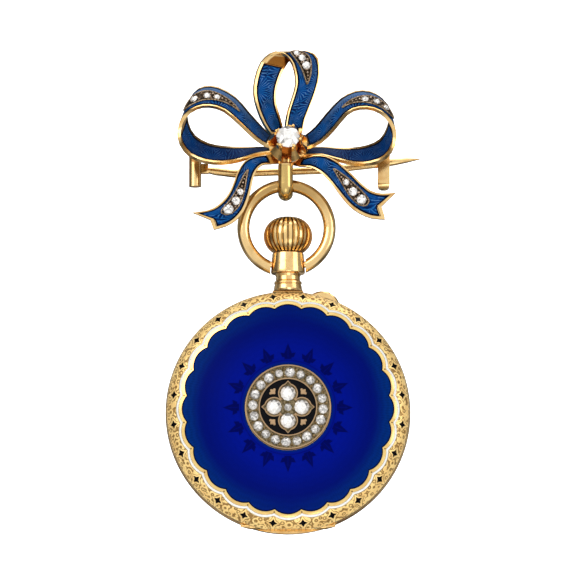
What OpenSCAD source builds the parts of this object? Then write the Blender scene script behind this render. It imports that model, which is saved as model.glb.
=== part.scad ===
// Chatelaine watch pin: an enamelled ribbon-bow brooch whose hook carries a lady's pendant watch.
// X runs to the right of the bow, Z up, and the wearer is at +Y. The origin is on the pin stem,
// behind the middle of the bow.

/* [Watch case] */
// Radius of the case at its widest
case_r = 15.28; // [15.2:0.02:15.34]
// Height of the back cover's dome above the middle plane of the case
dome_h = 4.7; // [4.6:0.05:4.8]
// Radius of the dome's foot, where the rim turns down
dome_foot_r = 13.2; // [13.1:0.05:13.3]
// Scallops round the blue field
lobes = 24; // [20:1:28]
// Radius of one scallop
lobe_r = 2.56; // [2.5:0.02:2.6]
// Radius on which the scallops are centred
lobe_ring_r = 10.64; // [10.5:0.02:10.7]
// Depth of the enamel on the back cover
enamel_depth = 0.3; // [0.2:0.05:0.35]

/* [Rosette] */
// Radius of the rosette on the back cover
rosette_r = 5.28; // [5.26:0.02:5.4]
// Small stones round the rosette
border_stones = 20; // [16:1:20]
// Radius of one border stone
border_stone_r = 0.6; // [0.5:0.01:0.6]
// Radius on which the border stones sit
border_ring_r = 4.36; // [4.32:0.02:4.38]
// Radius of one of the four large stones
petal_stone_r = 0.94; // [0.85:0.01:0.96]
// Distance of the large stones from the middle
petal_ring_r = 1.72; // [1.68:0.01:1.76]

/* [Crown and ring] */
// Largest radius of the winding crown
crown_r = 3.06; // [2.9:0.02:3.1]
// Flutes on the crown
flutes = 28; // [24:1:32]
// Radius of the ring, to the middle of its wire
ring_r = 5.4; // [5.35:0.05:5.5]
// Radius of the ring's wire
ring_wire_r = 0.78; // [0.7:0.02:0.8]
// Running clearance round a pivot
running_gap = 0.05; // [0.03:0.01:0.06]

/* [Bow brooch] */
// Thickness of the ribbon's gold plate
ribbon_t = 0.46; // [0.4:0.02:0.5]
// Gold rim beside a loop's outer enamel and above a tail's, as a share of the ribbon's width
narrow_rim = 0.055; // [0.05:0.005:0.07]
// Gold rim beside a loop's inner enamel and below a tail's, as a share of the ribbon's width
wide_rim = 0.1; // [0.08:0.01:0.12]
// Depth of the enamel in the ribbon
inlay_d = 0.14; // [0.1:0.01:0.16]
// Radius of the diamond in the middle of the bow
centre_stone_r = 1.47; // [1.4:0.01:1.5]
// Radius of the pin stem
stem_r = 0.42; // [0.36:0.02:0.44]

/* [Hidden] */
$fn = 96;

// Clearance left between pieces that lie against each other
seat = 0.03;
// How far a cutter stands out of what it cuts
through = 1;

// Where the watch hangs: the ring and the case share the plane y = watch_y
watch_y = -4;
ring_x = -0.19;
ring_z = -7.9;
trunnion_z = -12.52;
case_z = -31.22;

// The dome is a cap of a large sphere, and the rim below it a round shoulder
dome_r = (dome_foot_r * dome_foot_r + (dome_h - 3) * (dome_h - 3)) / (2 * (dome_h - 3));
dome_cz = dome_h - dome_r;
shoulder_r = 2.616;
shoulder_cr = case_r - 0.128 - shoulder_r;
shoulder_cz = 0.47;
band_top = 0.3;
band_bottom = -1.0;
band_inner_r = 13.9;
cover_inner_dome_r = dome_r - 0.95;

// The cover's hinge at the bottom of the case
hinge_y = -14.35;
hinge_z = 0.5;
hinge_tube_r = 0.4;
hinge_pin_r = 0.17;
hinge_half = 5.9;
cover_knuckle_half = 3.9;
cover_cut_y = -14.75;

// The push piece that sets the hands, in its guard at the upper right of the case
guard_angle = 18.1;
guard_disc_r = 2.3;
guard_centre_r = 13.68;
guard_foot_r = 14.5;
guard_half = 0.62;
guard_bevel = 0.18;
push_r = 0.25;
push_start = 14.3;
push_end = 16.08;
push_bevel = 0.08;
band_mid = (band_top + band_bottom) / 2;

// Rows of the ribbons: the front edge's x, z and y, then the back edge's x, z and y
LEFT_LOOP = [
    [-1.40, 2.20, -4.6, -1.13, 3.50, -2.9], [-2.63, 2.42, -4.8, -2.00, 3.88, -2.8],
    [-4.13, 3.38, -4.8, -3.25, 5.06, -2.7], [-6.00, 5.16, -4.8, -5.00, 7.03, -2.7],
    [-8.00, 6.87, -4.8, -6.63, 8.94, -2.7], [-9.88, 7.44, -4.8, -8.75, 10.21, -2.7],
    [-11.50, 7.19, -4.8, -10.50, 10.35, -2.7], [-13.00, 6.11, -4.8, -11.75, 9.48, -2.7],
    [-13.65, 4.40, -4.8, -12.75, 7.54, -2.7], [-13.44, 2.62, -4.8, -12.63, 5.63, -2.7],
    [-12.25, 1.10, -4.8, -11.75, 4.05, -2.7], [-10.38, 0.34, -4.8, -10.00, 3.03, -2.7],
    [-8.25, 0.15, -4.8, -8.00, 2.65, -2.7], [-6.00, 0.53, -4.8, -5.88, 2.55, -2.7],
    [-4.13, 1.23, -4.8, -4.00, 2.53, -2.7], [-2.75, 1.55, -4.6, -2.50, 2.50, -2.8],
    [-1.25, 1.50, -4.4, -1.13, 2.35, -2.9]];
RIGHT_LOOP = [
    [1.40, 2.10, -4.6, 1.20, 3.50, -2.9], [2.50, 2.20, -4.8, 2.13, 3.98, -2.8],
    [4.13, 2.94, -4.8, 3.50, 5.12, -2.7], [5.75, 4.52, -4.8, 4.88, 6.83, -2.7],
    [7.38, 6.49, -4.8, 6.69, 8.74, -2.7], [9.00, 7.19, -4.8, 8.50, 9.71, -2.7],
    [10.75, 7.06, -4.8, 10.25, 9.69, -2.7], [12.25, 6.17, -4.8, 11.75, 8.80, -2.7],
    [13.25, 4.65, -4.8, 12.88, 7.03, -2.7], [13.29, 2.62, -4.8, 12.56, 5.12, -2.7],
    [12.25, 0.91, -4.8, 11.63, 3.60, -2.7], [10.38, 0.11, -4.8, 10.00, 2.78, -2.7],
    [8.38, 0.05, -4.8, 8.13, 2.46, -2.7], [6.13, 0.59, -4.8, 6.25, 2.42, -2.7],
    [4.25, 1.10, -4.8, 4.38, 2.55, -2.7], [2.50, 1.12, -4.6, 2.75, 2.50, -2.8],
    [1.25, 1.10, -4.4, 1.30, 2.30, -2.9]];
TOP_LOOP = [
    [-0.88, 2.39, -4.4, -0.25, 2.98, -3.4], [-2.00, 3.66, -4.6, -0.63, 4.50, -3.4],
    [-3.05, 5.18, -4.7, -1.06, 6.28, -3.4], [-3.88, 7.13, -4.7, -1.54, 8.05, -3.4],
    [-4.32, 9.10, -4.7, -1.50, 9.71, -3.4], [-4.16, 11.01, -4.7, -1.13, 11.10, -3.4],
    [-3.48, 13.04, -4.7, -0.50, 12.62, -3.4], [-2.25, 14.20, -4.7, 0.38, 13.92, -3.4],
    [-0.88, 14.26, -4.7, 1.50, 14.62, -3.4], [0.19, 13.47, -4.7, 2.75, 14.60, -3.4],
    [0.75, 12.15, -4.7, 3.69, 13.88, -3.4], [0.96, 10.37, -4.7, 3.91, 11.99, -3.4],
    [0.56, 8.73, -4.7, 3.50, 9.96, -3.4], [0.00, 6.95, -4.7, 2.75, 7.93, -3.4],
    [-0.31, 5.30, -4.6, 2.06, 6.16, -3.4], [-0.38, 3.78, -4.4, 1.69, 4.38, -3.4],
    [-0.25, 2.39, -4.2, 1.00, 2.98, -3.4]];
// Rows of the tails: the outer edge first, then the inner edge
LEFT_TAIL = [
    [-1.00, 1.49, -4.5, -0.88, 0.22, -4.5], [-2.75, 1.21, -4.85, -2.25, 0.07, -4.85],
    [-4.25, 0.92, -5.1, -3.25, -0.09, -5.1], [-5.50, 0.25, -5.4, -4.00, -0.96, -5.4],
    [-6.31, -1.07, -5.6, -4.38, -2.08, -5.6], [-6.81, -2.49, -5.8, -4.63, -3.38, -5.8],
    [-7.38, -3.78, -5.9, -5.00, -4.80, -5.9], [-8.19, -4.87, -6.0, -5.56, -6.14, -6.0],
    [-9.38, -5.76, -6.0, -6.50, -7.28, -6.0], [-10.63, -6.14, -6.0, -7.75, -8.04, -6.0],
    [-11.88, -6.33, -6.1, -9.25, -8.49, -6.1]];
RIGHT_TAIL = [
    [0.50, 1.49, -4.45, 0.38, 0.10, -4.45], [2.00, 0.82, -4.85, 1.50, -0.22, -4.85],
    [3.25, 1.12, -5.1, 2.88, -0.39, -5.1], [4.75, 1.00, -5.4, 4.13, -1.15, -5.4],
    [6.13, 0.31, -5.6, 5.13, -2.21, -5.6], [7.25, -0.66, -5.8, 5.94, -3.31, -5.8],
    [8.31, -1.69, -5.9, 6.75, -4.42, -5.9], [9.25, -2.66, -6.0, 7.69, -5.51, -6.0],
    [10.38, -3.54, -6.0, 8.88, -6.39, -6.0], [11.75, -3.89, -6.0, 10.38, -7.03, -6.0],
    [13.45, -3.80, -6.1, 12.10, -7.20, -6.1]];
tail_end = 10;
notch = 0.66;

// A point of a smooth curve through the rows, u counted in rows
function along(rows, u) =
    let (n = len(rows) - 1, i = max(0, min(floor(u), n - 1)), f = u - i,
        a = rows[max(i - 1, 0)], b = rows[i], c = rows[i + 1], d = rows[min(i + 2, n)])
    (2 * b + (c - a) * f + (2 * a - 5 * b + 4 * c - d) * f * f
        + (3 * b - a - 3 * c + d) * f * f * f) / 2;

// A point in the ribbon's middle surface: s along it, w from the first edge (0) to the other (1)
function on_ribbon(rows, s, w) =
    let (e = along(rows, s))
    [e[0], e[2], e[1]] * (1 - w) + [e[3], e[5], e[4]] * w;

function unit(v) = v / norm(v);

// The same point lifted by h towards the face that side (1 or -1) turns outwards
function lifted(rows, s, w, h, side) =
    let (step = 0.08, n = len(rows) - 1, lo = max(0, s - step), hi = min(n, s + step),
        run = on_ribbon(rows, hi, w) - on_ribbon(rows, lo, w),
        across = on_ribbon(rows, s, 1) - on_ribbon(rows, s, 0))
    on_ribbon(rows, s, w) + side * h * unit(cross(run, across));

// How far the forked end of a tail stands back at w across it
function fork(w) = notch * (1 - abs(2 * w - 1));

// Closed skin through rings of equal length, with the triangles of one end cap
module skin(rings, cap, turn = false) {
    n = len(rings[0]);
    last = (len(rings) - 1) * n;
    walls = [for (i = [0:len(rings) - 2], j = [0:n - 1], k = [0, 1])
        let (a = i * n + j, b = i * n + (j + 1) % n)
        k == 0 ? [a, b, b + n] : [a, b + n, a + n]];
    near = [for (t = cap) [t[2], t[1], t[0]]];
    far = [for (t = cap) [t[0] + last, t[1] + last, t[2] + last]];
    faces = concat(walls, near, far);
    polyhedron([for (r = rings) each r],
        turn ? faces : [for (t = faces) [t[2], t[1], t[0]]]);
}

// Section of a loop: rims on both faces, with a channel of depth a outside and b inside
function loop_section(rows, s, side, a, b) =
    let (h = ribbon_t / 2, e = narrow_rim, f = wide_rim)
    [for (p = [[0, h], [e, h], [e, h - a], [1 - e, h - a], [1 - e, h], [1, h],
            [1, -h], [1 - f, -h], [1 - f, b - h], [f, b - h], [f, -h], [0, -h]])
        lifted(rows, s, p[0], p[1], side)];
LOOP_CAP = [[0, 1, 2], [0, 2, 9], [0, 9, 10], [0, 10, 11], [2, 3, 8], [2, 8, 9],
    [5, 6, 7], [5, 7, 8], [5, 8, 3], [5, 3, 4]];

// Section of a tail: rims and one channel in front, and a middle line for the forked end
function tail_section(rows, s, side, a) =
    let (h = ribbon_t / 2, e = narrow_rim, f = wide_rim)
    [for (p = [[0, h], [e, h], [e, h - a], [0.5, h - a], [1 - f, h - a], [1 - f, h], [1, h],
            [1, -h], [0.5, -h], [0, -h]])
        lifted(rows, s - fork(p[0]) * s / tail_end, p[0], p[1], side)];
TAIL_CAP = [[9, 0, 1], [9, 1, 2], [9, 2, 3], [9, 3, 8], [8, 3, 4], [7, 8, 4], [7, 4, 5], [7, 5, 6]];

// Stretches that carry enamel, from one place along a ribbon to another: a loop's outer face
// first, then its inner face
side_stretches = [[1.1, 8.2], [8.5, 15.2]];
top_stretches = [[8.1, 14.7], [1.2, 6.1]];
tail_stretch = [1.0, 9.72];
sliver = 0.02;
pitch = 0.5;

function within(s, stretch) = s > stretch[0] + sliver / 2 && s < stretch[1] - sliver / 2;
// Places of the sections: evenly along the ribbon, and in pairs where a channel begins or ends
function stations(length, stretches) =
    let (plain = [for (s = [0:pitch:length]) if (min([for (t = stretches)
            min(abs(s - t[0]), abs(s - t[1]))]) > pitch / 4) s],
        ends = [for (t = stretches) each [t[0], t[0] + 2 * sliver, t[1] - 2 * sliver, t[1]]])
    sorted(concat(plain, ends));
function sorted(v) = len(v) < 2 ? v :
    let (m = v[floor(len(v) / 2)])
    concat(sorted([for (x = v) if (x < m) x]), [m], sorted([for (x = v) if (x > m) x]));

module loop_plate(rows, side, stretches) {
    skin([for (s = stations(len(rows) - 1, stretches))
        loop_section(rows, s, side, within(s, stretches[0]) ? inlay_d : sliver,
            within(s, stretches[1]) ? inlay_d : sliver)], LOOP_CAP, side > 0);
}

module tail_plate(rows, side) {
    skin([for (s = stations(tail_end, [tail_stretch]))
        tail_section(rows, s, side, within(s, tail_stretch) ? inlay_d : sliver)],
        TAIL_CAP, side > 0);
}

// The enamel's gap to a rim, its top and underside, and the places of its sections
edge_gap = 0.015;
inlay_top = ribbon_t / 2 - seat / 3;
inlay_floor = ribbon_t / 2 - inlay_d + seat;
end_gap = 0.07;
function inlay_places(length, stretches, k) =
    let (from = stretches[k][0] + end_gap, to = stretches[k][1] - end_gap)
    concat([from], [for (s = stations(length, stretches)) if (s > from && s < to) s], [to]);

// Enamel in a channel of a loop: k is 0 for the outer face, 1 for the inner. Its corners run the
// way that the channel's do, so that both are cut into triangles alike.
module loop_inlay(rows, side, stretches, k) {
    e = edge_gap + (k == 0 ? narrow_rim : wide_rim);
    low = inlay_floor;
    high = inlay_top;
    section = k == 0 ? [[e, low], [1 - e, low], [1 - e, high], [e, high]]
        : [[e, -high], [1 - e, -high], [1 - e, -low], [e, -low]];
    skin([for (s = inlay_places(len(rows) - 1, stretches, k))
        [for (p = section) lifted(rows, s, p[0], p[1], side)]],
        [[0, 1, 2], [0, 2, 3]], side < 0);
}

module tail_inlay(rows, side) {
    e = edge_gap + narrow_rim;
    f = 1 - edge_gap - wide_rim;
    top = inlay_top;
    floor_h = inlay_floor;
    skin([for (s = inlay_places(tail_end, [tail_stretch], 0))
        [for (p = [[e, top], [0.5, top], [f, top], [f, floor_h], [0.5, floor_h], [e, floor_h]])
            lifted(rows, s - fork(p[0]) * s / tail_end, p[0], p[1], side)]],
        [[0, 1, 4], [0, 4, 5], [1, 2, 3], [1, 3, 4]], side > 0);
}

// Stone panels: place along the ribbon of the blunt and the pointed end, middle across it at
// both ends, and the panel's half width, as a share of the ribbon's width
LEFT_LOOP_PANEL = [7.3, 3.4, 0.46, 0.48, 0.24];
TOP_LOOP_PANEL = [8.25, 11.4, 0.45, 0.47, 0.27];
RIGHT_LOOP_PANEL = [7.8, 3.9, 0.46, 0.40, 0.24];
LEFT_TAIL_PANEL = [8.05, 3.4, 0.46, 0.51, 0.24];
RIGHT_TAIL_PANEL = [8.3, 4.0, 0.50, 0.41, 0.25];
panel_t = 0.1;
panel_base = ribbon_t / 2 + 0.015;

// Half width of the leaf at a share f of its length, as a share of the widest
leaf_lean = 0.55;
leaf_fullness = 0.7;
leaf_least = 0.04;
leaf_steps = 12;
function leaf(f) = max(leaf_least, pow(sin(180 * pow(f, leaf_lean)), leaf_fullness));

// A leaf-shaped plate over the enamel, blunt at one end and drawn out to a point at the other
module leaf_panel(rows, side, spec) {
    skin([for (i = [0:leaf_steps])
        let (f = i / leaf_steps, s = spec[0] + (spec[1] - spec[0]) * f,
            mid = spec[2] + (spec[3] - spec[2]) * f, half = spec[4] * leaf(f))
        [for (p = [[mid - half, panel_base + panel_t], [mid + half, panel_base + panel_t],
                [mid + half, panel_base], [mid - half, panel_base]])
            lifted(rows, s, p[0], p[1], side)]],
        [[0, 1, 2], [0, 2, 3]], (spec[1] - spec[0]) * side > 0);
}

// Stones of the bow: which ribbon, place along it, place across it, radius
BOW_STONES = [
    [0, 6.42, 0.46, 0.50], [0, 5.46, 0.46, 0.47], [0, 4.8, 0.46, 0.41],
    [1, 8.68, 0.45, 0.40], [1, 9.36, 0.45, 0.47], [1, 10.12, 0.47, 0.56],
    [2, 7.06, 0.44, 0.44], [2, 6.32, 0.44, 0.48], [2, 5.5, 0.42, 0.47],
    [3, 7.46, 0.46, 0.66], [3, 6.46, 0.49, 0.56], [3, 5.55, 0.50, 0.42],
    [4, 7.64, 0.50, 0.63], [4, 6.65, 0.48, 0.56], [4, 5.64, 0.43, 0.40]];
RIBBONS = [LEFT_LOOP, TOP_LOOP, RIGHT_LOOP, LEFT_TAIL, RIGHT_TAIL];
SIDES = [-1, 1, 1, 1, -1];

// Rings of corners of a cut stone, from its foot up: radius as a share of the stone's, height as
// a share of the stone's height, and turn as a share of one side
ROSE_CUT = [[1, 0, 0], [0.76, 0.52, 0.5], [0.3, 1, 0]];
rose_sides = 8;
OLD_CUT = [[0.08, -0.78, 0.5], [0.55, -0.42, 0.5], [1, -0.06, 0], [1, 0.04, 0], [0.78, 0.24, 0.5],
    [0.5, 0.4, 0]];
old_cut_sides = 12;

// A stone of radius r; the height of a rose cut is h, and that of an old cut its own radius
module cut_stone(rings, sides, r, h) {
    skin([for (ring = rings) [for (i = [0:sides - 1]) let (a = 360 * (i + ring[2]) / sides)
        [ring[0] * r * cos(a), ring[0] * r * sin(a), ring[1] * h]]],
        [for (i = [1:sides - 2]) [0, i, i + 1]]);
}
module rose_cut(r, h) cut_stone(ROSE_CUT, rose_sides, r, h);
module old_cut(r) cut_stone(OLD_CUT, old_cut_sides, r, r);

// Carries its children from a stone's own frame to a place on a ribbon
module set_on(rows, s, w, side, lift) {
    p = lifted(rows, s, w, lift, side);
    up = unit(lifted(rows, s, w, 1, side) - on_ribbon(rows, s, w));
    azimuth = atan2(up[1], up[0]);
    tilt = acos(up[2]);
    translate(p) rotate([0, tilt, azimuth]) children();
}

rose_height = 0.55;
stone_lift = panel_base + panel_t + 0.04;
module bow_diamond(i) {
    stone = BOW_STONES[i - 1];
    r = stone[3];
    color("white") set_on(RIBBONS[stone[0]], stone[1], stone[2], SIDES[stone[0]], stone_lift)
        rose_cut(r, rose_height * r);
}

// The middle of the bow: a short drum to which ribbons, hook and setting are soldered
boss_z = 2.2;
boss_r = 1.95;
boss_back = -2.4;
boss_front = -4.5;
stub_r = 1.5;
stub_h = 1.17;

// The hook and the collar that it hangs from
hook_x = -0.31;
hook_t = 0.85;
hook_w = 1.88;
hook_face_r = 0.96;
hook_gap = 0.3;
hook_inner_r = ring_wire_r + hook_gap;
ring_top_z = ring_z + ring_r;
tongue_y = watch_y - hook_inner_r;
tongue_h = 2.4;
hook_end_h = 0.55;
collar_y = -5.15;
collar_z = -0.8;
collar_foot_r = 0.7;
collar_top_r = 0.9;
block_size = [1.4, 1, 1.3];
block_rise = 0.4;
block_lead = 0.05;

// Half-round section: flat inside, where the ring hangs, and round outside
module hook_section() {
    intersection() {
        square([hook_t, hook_w], center = true);
        translate([hook_t / 2 - hook_face_r, 0]) circle(r = hook_face_r);
    }
}

module hook() {
    translate([hook_x, watch_y, ring_top_z]) rotate([90, 0, 90]) {
        rotate([0, 0, 180]) rotate_extrude(angle = 180)
            translate([hook_inner_r + hook_t / 2, 0]) hook_section();
    }
    translate([hook_x, tongue_y - hook_t / 2, ring_top_z]) rotate([0, 0, 90])
        linear_extrude(tongue_h) mirror([1, 0]) hook_section();
    translate([hook_x, watch_y + hook_inner_r + hook_t / 2, ring_top_z]) rotate([0, 0, 90])
        linear_extrude(hook_end_h) hook_section();
    translate([hook_x, collar_y, collar_z])
        cylinder(h = -collar_z, r1 = collar_foot_r, r2 = collar_top_r);
    // the block that joins the collar to the drum
    translate([hook_x - block_size[0] / 2, collar_y - block_lead, collar_z + block_rise])
        cube(block_size);
}

// The hinge of the pin stem and its catch
stem_pivot_x = -11.7;
tube_r = 0.78;
tube_low = -1.9;
tube_high = 2.15;
slot_low = -0.3;
slot_high = 1.05;
slot_w = 3;
slot_d = 2;
eye_r = 0.45;
rivet_r = 0.24;
arm_w = 1;

// Side outlines, y and z, of the arms that carry the tube and the catch back from the loops
TUBE_ARM = [[-0.25, 1.25], [-0.25, 2.1], [-3.8, 2.1], [-4.42, 1.25]];
CATCH_ARM = [[-0.8, 1.38], [-0.8, 1.7], [-3.9, 1.7], [-4.15, 1.38]];

module stem_tube() {
    difference() {
        union() {
            translate([stem_pivot_x, 0, tube_low]) cylinder(h = tube_high - tube_low, r = tube_r);
            translate([stem_pivot_x - arm_w / 2, 0, 0]) rotate([90, 0, 90])
                linear_extrude(arm_w) polygon(TUBE_ARM);
        }
        translate([stem_pivot_x, 0, tube_low - through])
            cylinder(h = tube_high - tube_low + 2 * through, r = rivet_r + seat);
        // the slot is open behind and to the right, so that the tube's front stays whole
        translate([stem_pivot_x - eye_r - running_gap, -eye_r - running_gap, slot_low])
            cube([slot_w, slot_d, slot_high - slot_low]);
    }
}

catch_x = 11.3;
catch_w = 1.5;
catch_t = 0.32;
catch_r = 0.95;
catch_bend_z = -1.3;
catch_back_h = 3.0;
catch_lip_h = 0.55;
catch_depth = 8;

// The catch's outline from the front: a strip with a round lower end
module catch_front() {
    end_r = catch_w / 2;
    low = catch_bend_z - catch_r - catch_t / 2;
    translate([catch_x + end_r, 2 * catch_r, 0]) rotate([90, 0, 0])
        linear_extrude(catch_depth) union() {
            translate([0, low + end_r]) circle(r = end_r);
            translate([-end_r, low + end_r]) square([catch_w, 2 * catch_back_h]);
        }
}

// A hook of flat strip, open above: its back, its short lip and the half round that joins them
module catch() {
    outer_r = catch_r + catch_t / 2;
    intersection() {
        catch_front();
        translate([catch_x, 0, 0]) rotate([90, 0, 90]) linear_extrude(catch_w) {
            translate([-outer_r, catch_bend_z]) square([catch_t, catch_back_h]);
            translate([outer_r - catch_t, catch_bend_z]) square([catch_t, catch_lip_h]);
            polygon(CATCH_ARM);
            translate([0, catch_bend_z]) intersection() {
                difference() {
                    circle(r = outer_r);
                    circle(r = outer_r - catch_t);
                }
                translate([-outer_r, -outer_r]) square([2 * outer_r, outer_r]);
            }
        }
    }
}

module bow_frame() {
    color("goldenrod") union() {
        translate([0, boss_back, boss_z]) rotate([90, 0, 0])
            cylinder(h = boss_back - boss_front, r = boss_r);
        on_setting() translate([0, 0, -stub_h - seat]) cylinder(h = stub_h, r = stub_r);
        hook();
        stem_tube();
        catch();
        loop_plate(LEFT_LOOP, SIDES[0], side_stretches);
        loop_plate(TOP_LOOP, SIDES[1], top_stretches);
        loop_plate(RIGHT_LOOP, SIDES[2], side_stretches);
        tail_plate(LEFT_TAIL, SIDES[3]);
        tail_plate(RIGHT_TAIL, SIDES[4]);
    }
}

module loop_enamel(rows, side, stretches) {
    color("royalblue") for (k = [0, 1]) loop_inlay(rows, side, stretches, k);
}
module left_loop_enamel() loop_enamel(LEFT_LOOP, SIDES[0], side_stretches);
module right_loop_enamel() loop_enamel(RIGHT_LOOP, SIDES[2], side_stretches);
module top_loop_enamel() loop_enamel(TOP_LOOP, SIDES[1], top_stretches);
module left_tail_enamel() color("royalblue") tail_inlay(LEFT_TAIL, SIDES[3]);
module right_tail_enamel() color("royalblue") tail_inlay(RIGHT_TAIL, SIDES[4]);
module left_loop_panel() color("dimgray") leaf_panel(LEFT_LOOP, SIDES[0], LEFT_LOOP_PANEL);
module top_loop_panel() color("dimgray") leaf_panel(TOP_LOOP, SIDES[1], TOP_LOOP_PANEL);
module right_loop_panel() color("dimgray") leaf_panel(RIGHT_LOOP, SIDES[2], RIGHT_LOOP_PANEL);
module left_tail_panel() color("dimgray") leaf_panel(LEFT_TAIL, SIDES[3], LEFT_TAIL_PANEL);
module right_tail_panel() color("dimgray") leaf_panel(RIGHT_TAIL, SIDES[4], RIGHT_TAIL_PANEL);

// The claw setting leans upwards from the drum; its own z runs along its axis
setting_tilt = 17;
setting_foot = [0, -5.03, 1.85];
stone_seat = 3.6;
// Claws: angle round the axis, seen from the front, from the right
CLAWS = [20, 66, 153, 232, 299, 345];
WINDOWS = [43, 110, 192, 265, 322, 2];

module on_setting() {
    translate(setting_foot) rotate([90 - setting_tilt, 0, 0]) children();
}

// The cup: distance along the axis and radius, from its foot to its lip
CUP = [[0, 1.55], [0.5, 2.0], [1.1, 2.35], [1.7, 2.5], [2.3, 2.2], [2.9, 1.85], [3.5, 1.72]];
cup_h = CUP[len(CUP) - 1][0];
cup_wall = 0.38;
cup_floor = 0.6;
window_z = 1.75;
window_r = 0.62;
window_d = 4;
claw_z = 2.6;
claw_h = 1.15;
claw_r = 0.2;
claw_ring_r = 1.66;
claw_lean = 3;
claw_tip_r = 0.22;
claw_tip_ring_r = 1.6;
pavilion_h = 1.6;
pavilion_foot_r = 0.1;
girdle_room = 0.12;

module cup(grow) {
    rotate_extrude()
        polygon(concat([[0, 0]], [for (p = CUP) [p[1] + grow, p[0]]], [[0, cup_h]]));
}

module centre_setting() {
    color("darkgoldenrod") on_setting() difference() {
        union() {
            difference() {
                cup(0);
                translate([0, 0, cup_floor]) cup(-cup_wall);
                for (a = WINDOWS) rotate([0, 0, a]) translate([0, 0, window_z]) {
                    rotate([0, 90, 0]) cylinder(h = window_d, r = window_r);
                    translate([0, -window_r, 0]) cube([window_d, 2 * window_r, cup_h]);
                }
            }
            for (a = CLAWS) rotate([0, 0, a]) {
                translate([claw_ring_r, 0, claw_z]) rotate([0, -claw_lean, 0])
                    cylinder(h = claw_h, r = claw_r);
                translate([claw_tip_ring_r, 0, claw_z + claw_h]) sphere(r = claw_tip_r, $fn = 32);
            }
        }
        translate([0, 0, stone_seat - pavilion_h])
            cylinder(h = pavilion_h, r1 = pavilion_foot_r, r2 = centre_stone_r + seat);
        translate([0, 0, stone_seat - girdle_room])
            cylinder(h = girdle_room + through, r = centre_stone_r + seat);
    }
}

module centre_diamond() {
    color("white") on_setting() translate([0, 0, stone_seat]) old_cut(centre_stone_r);
}

// The pin stem: x, z and radius at places along it, from the collar to the point
STEM = [[-9.9, 0.15, 0.4], [-9.2, 0.05, 0.5], [-6.8, -0.25, 0.5], [-3.5, -0.12, 0.46],
    [0.2, 0.03, 0.46], [3.8, 0.15, 0.46], [8.4, 0.6, 0.44], [11.3, 0.94, 0.44], [13.4, 1.26, 0.46],
    [15.0, 1.47, 0.32], [16.85, 1.68, 0.04]];
stem_sides = 10;
// Radius that the rows above are given for
stem_row_r = 0.42;
shank_w = 0.6;
shank_l = 1.65;
stem_collar = [1.5, 0.15, 0.4];

// The eye round the rivet, the shank, the collar (place, height and size) and the tapered stem
module pin_stem() {
    scale_r = stem_r / stem_row_r;
    shank_h = slot_high - slot_low - 2 * running_gap;
    color("gold") difference() {
        union() {
            translate([stem_pivot_x, 0, slot_low + running_gap]) cylinder(h = shank_h, r = eye_r);
            translate([stem_pivot_x, -shank_w / 2, slot_low + running_gap])
                cube([shank_l, shank_w, shank_h]);
            translate([stem_pivot_x + stem_collar[0], 0, stem_collar[1]]) rotate([0, 90, 0])
                cylinder(h = stem_collar[2], r = stem_collar[2]);
            skin([for (p = STEM) [for (j = [0:stem_sides - 1]) let (a = 360 * j / stem_sides)
                [p[0], p[2] * scale_r * cos(a), p[1] + p[2] * scale_r * sin(a)]]],
                [for (j = [1:stem_sides - 2]) [0, j, j + 1]]);
        }
        translate([stem_pivot_x, 0, slot_low - through])
            cylinder(h = shank_h + 2 * through, r = rivet_r + running_gap);
    }
}

rivet_sunk = 0.06;
module stem_rivet() {
    color("goldenrod") translate([stem_pivot_x, 0, tube_low + rivet_sunk])
        cylinder(h = tube_high - tube_low - 2 * rivet_sunk, r = rivet_r);
}

// The ring: a round wire whose ends stop at the pendant and carry two trunnions
neck_max_r = 2.125;
ring_gap = 0.08;
ring_cut_h = 1.6;
trunnion_r = 0.4;
trunnion_from = 1.1;
trunnion_l = 1.9;

module watch_ring() {
    color("gold") union() {
        difference() {
            translate([ring_x, watch_y, ring_z]) rotate([90, 0, 0])
                rotate_extrude() translate([ring_r, 0]) circle(r = ring_wire_r);
            translate([-neck_max_r - ring_gap, watch_y - through, ring_z - ring_r - through])
                cube([2 * (neck_max_r + ring_gap), 2 * through, ring_cut_h + through]);
        }
        for (m = [0, 1]) mirror([m, 0, 0]) translate([trunnion_from, watch_y, trunnion_z])
            rotate([0, 90, 0]) cylinder(h = trunnion_l, r = trunnion_r);
    }
}

// Frame of the case: its own z points out of the back cover, its y up
module on_case() {
    translate([0, watch_y, case_z]) rotate([90, 0, 0]) children();
}

// The pendant: height above the case's middle and radius
NECK = [[15.2, 1.95], [15.5, 1.78], [16.0, 1.72], [16.06, 1.62], [16.14, 1.62], [16.2, 1.74],
    [16.42, 1.74], [16.62, 1.54], [17.1, 1.5], [17.4, 1.66], [17.5, 2.05], [17.62, 2.125],
    [17.8, 2.125], [20.0, 1.98], [20.1, 1.88]];
stem_bore_r = 0.55;
stem_bore_floor = 17.4;
// Half of the room that the neck is kept in, and where its foot ends in the band
neck_room = 3;
neck_foot = 15;

module neck_solid() {
    translate([0, watch_y, case_z]) rotate_extrude()
        polygon(concat([[0, NECK[0][0]]], [for (p = NECK) [p[1], p[0]]],
            [[0, NECK[len(NECK) - 1][0]]]));
}

// The band's outer side is a flat arc
band_arc_r = 1.88;
module band_ring() {
    rotate_extrude() intersection() {
        translate([band_inner_r, band_bottom])
            square([case_r - band_inner_r, band_top - band_bottom]);
        translate([case_r - band_arc_r, band_mid]) circle(r = band_arc_r);
    }
}

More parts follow.
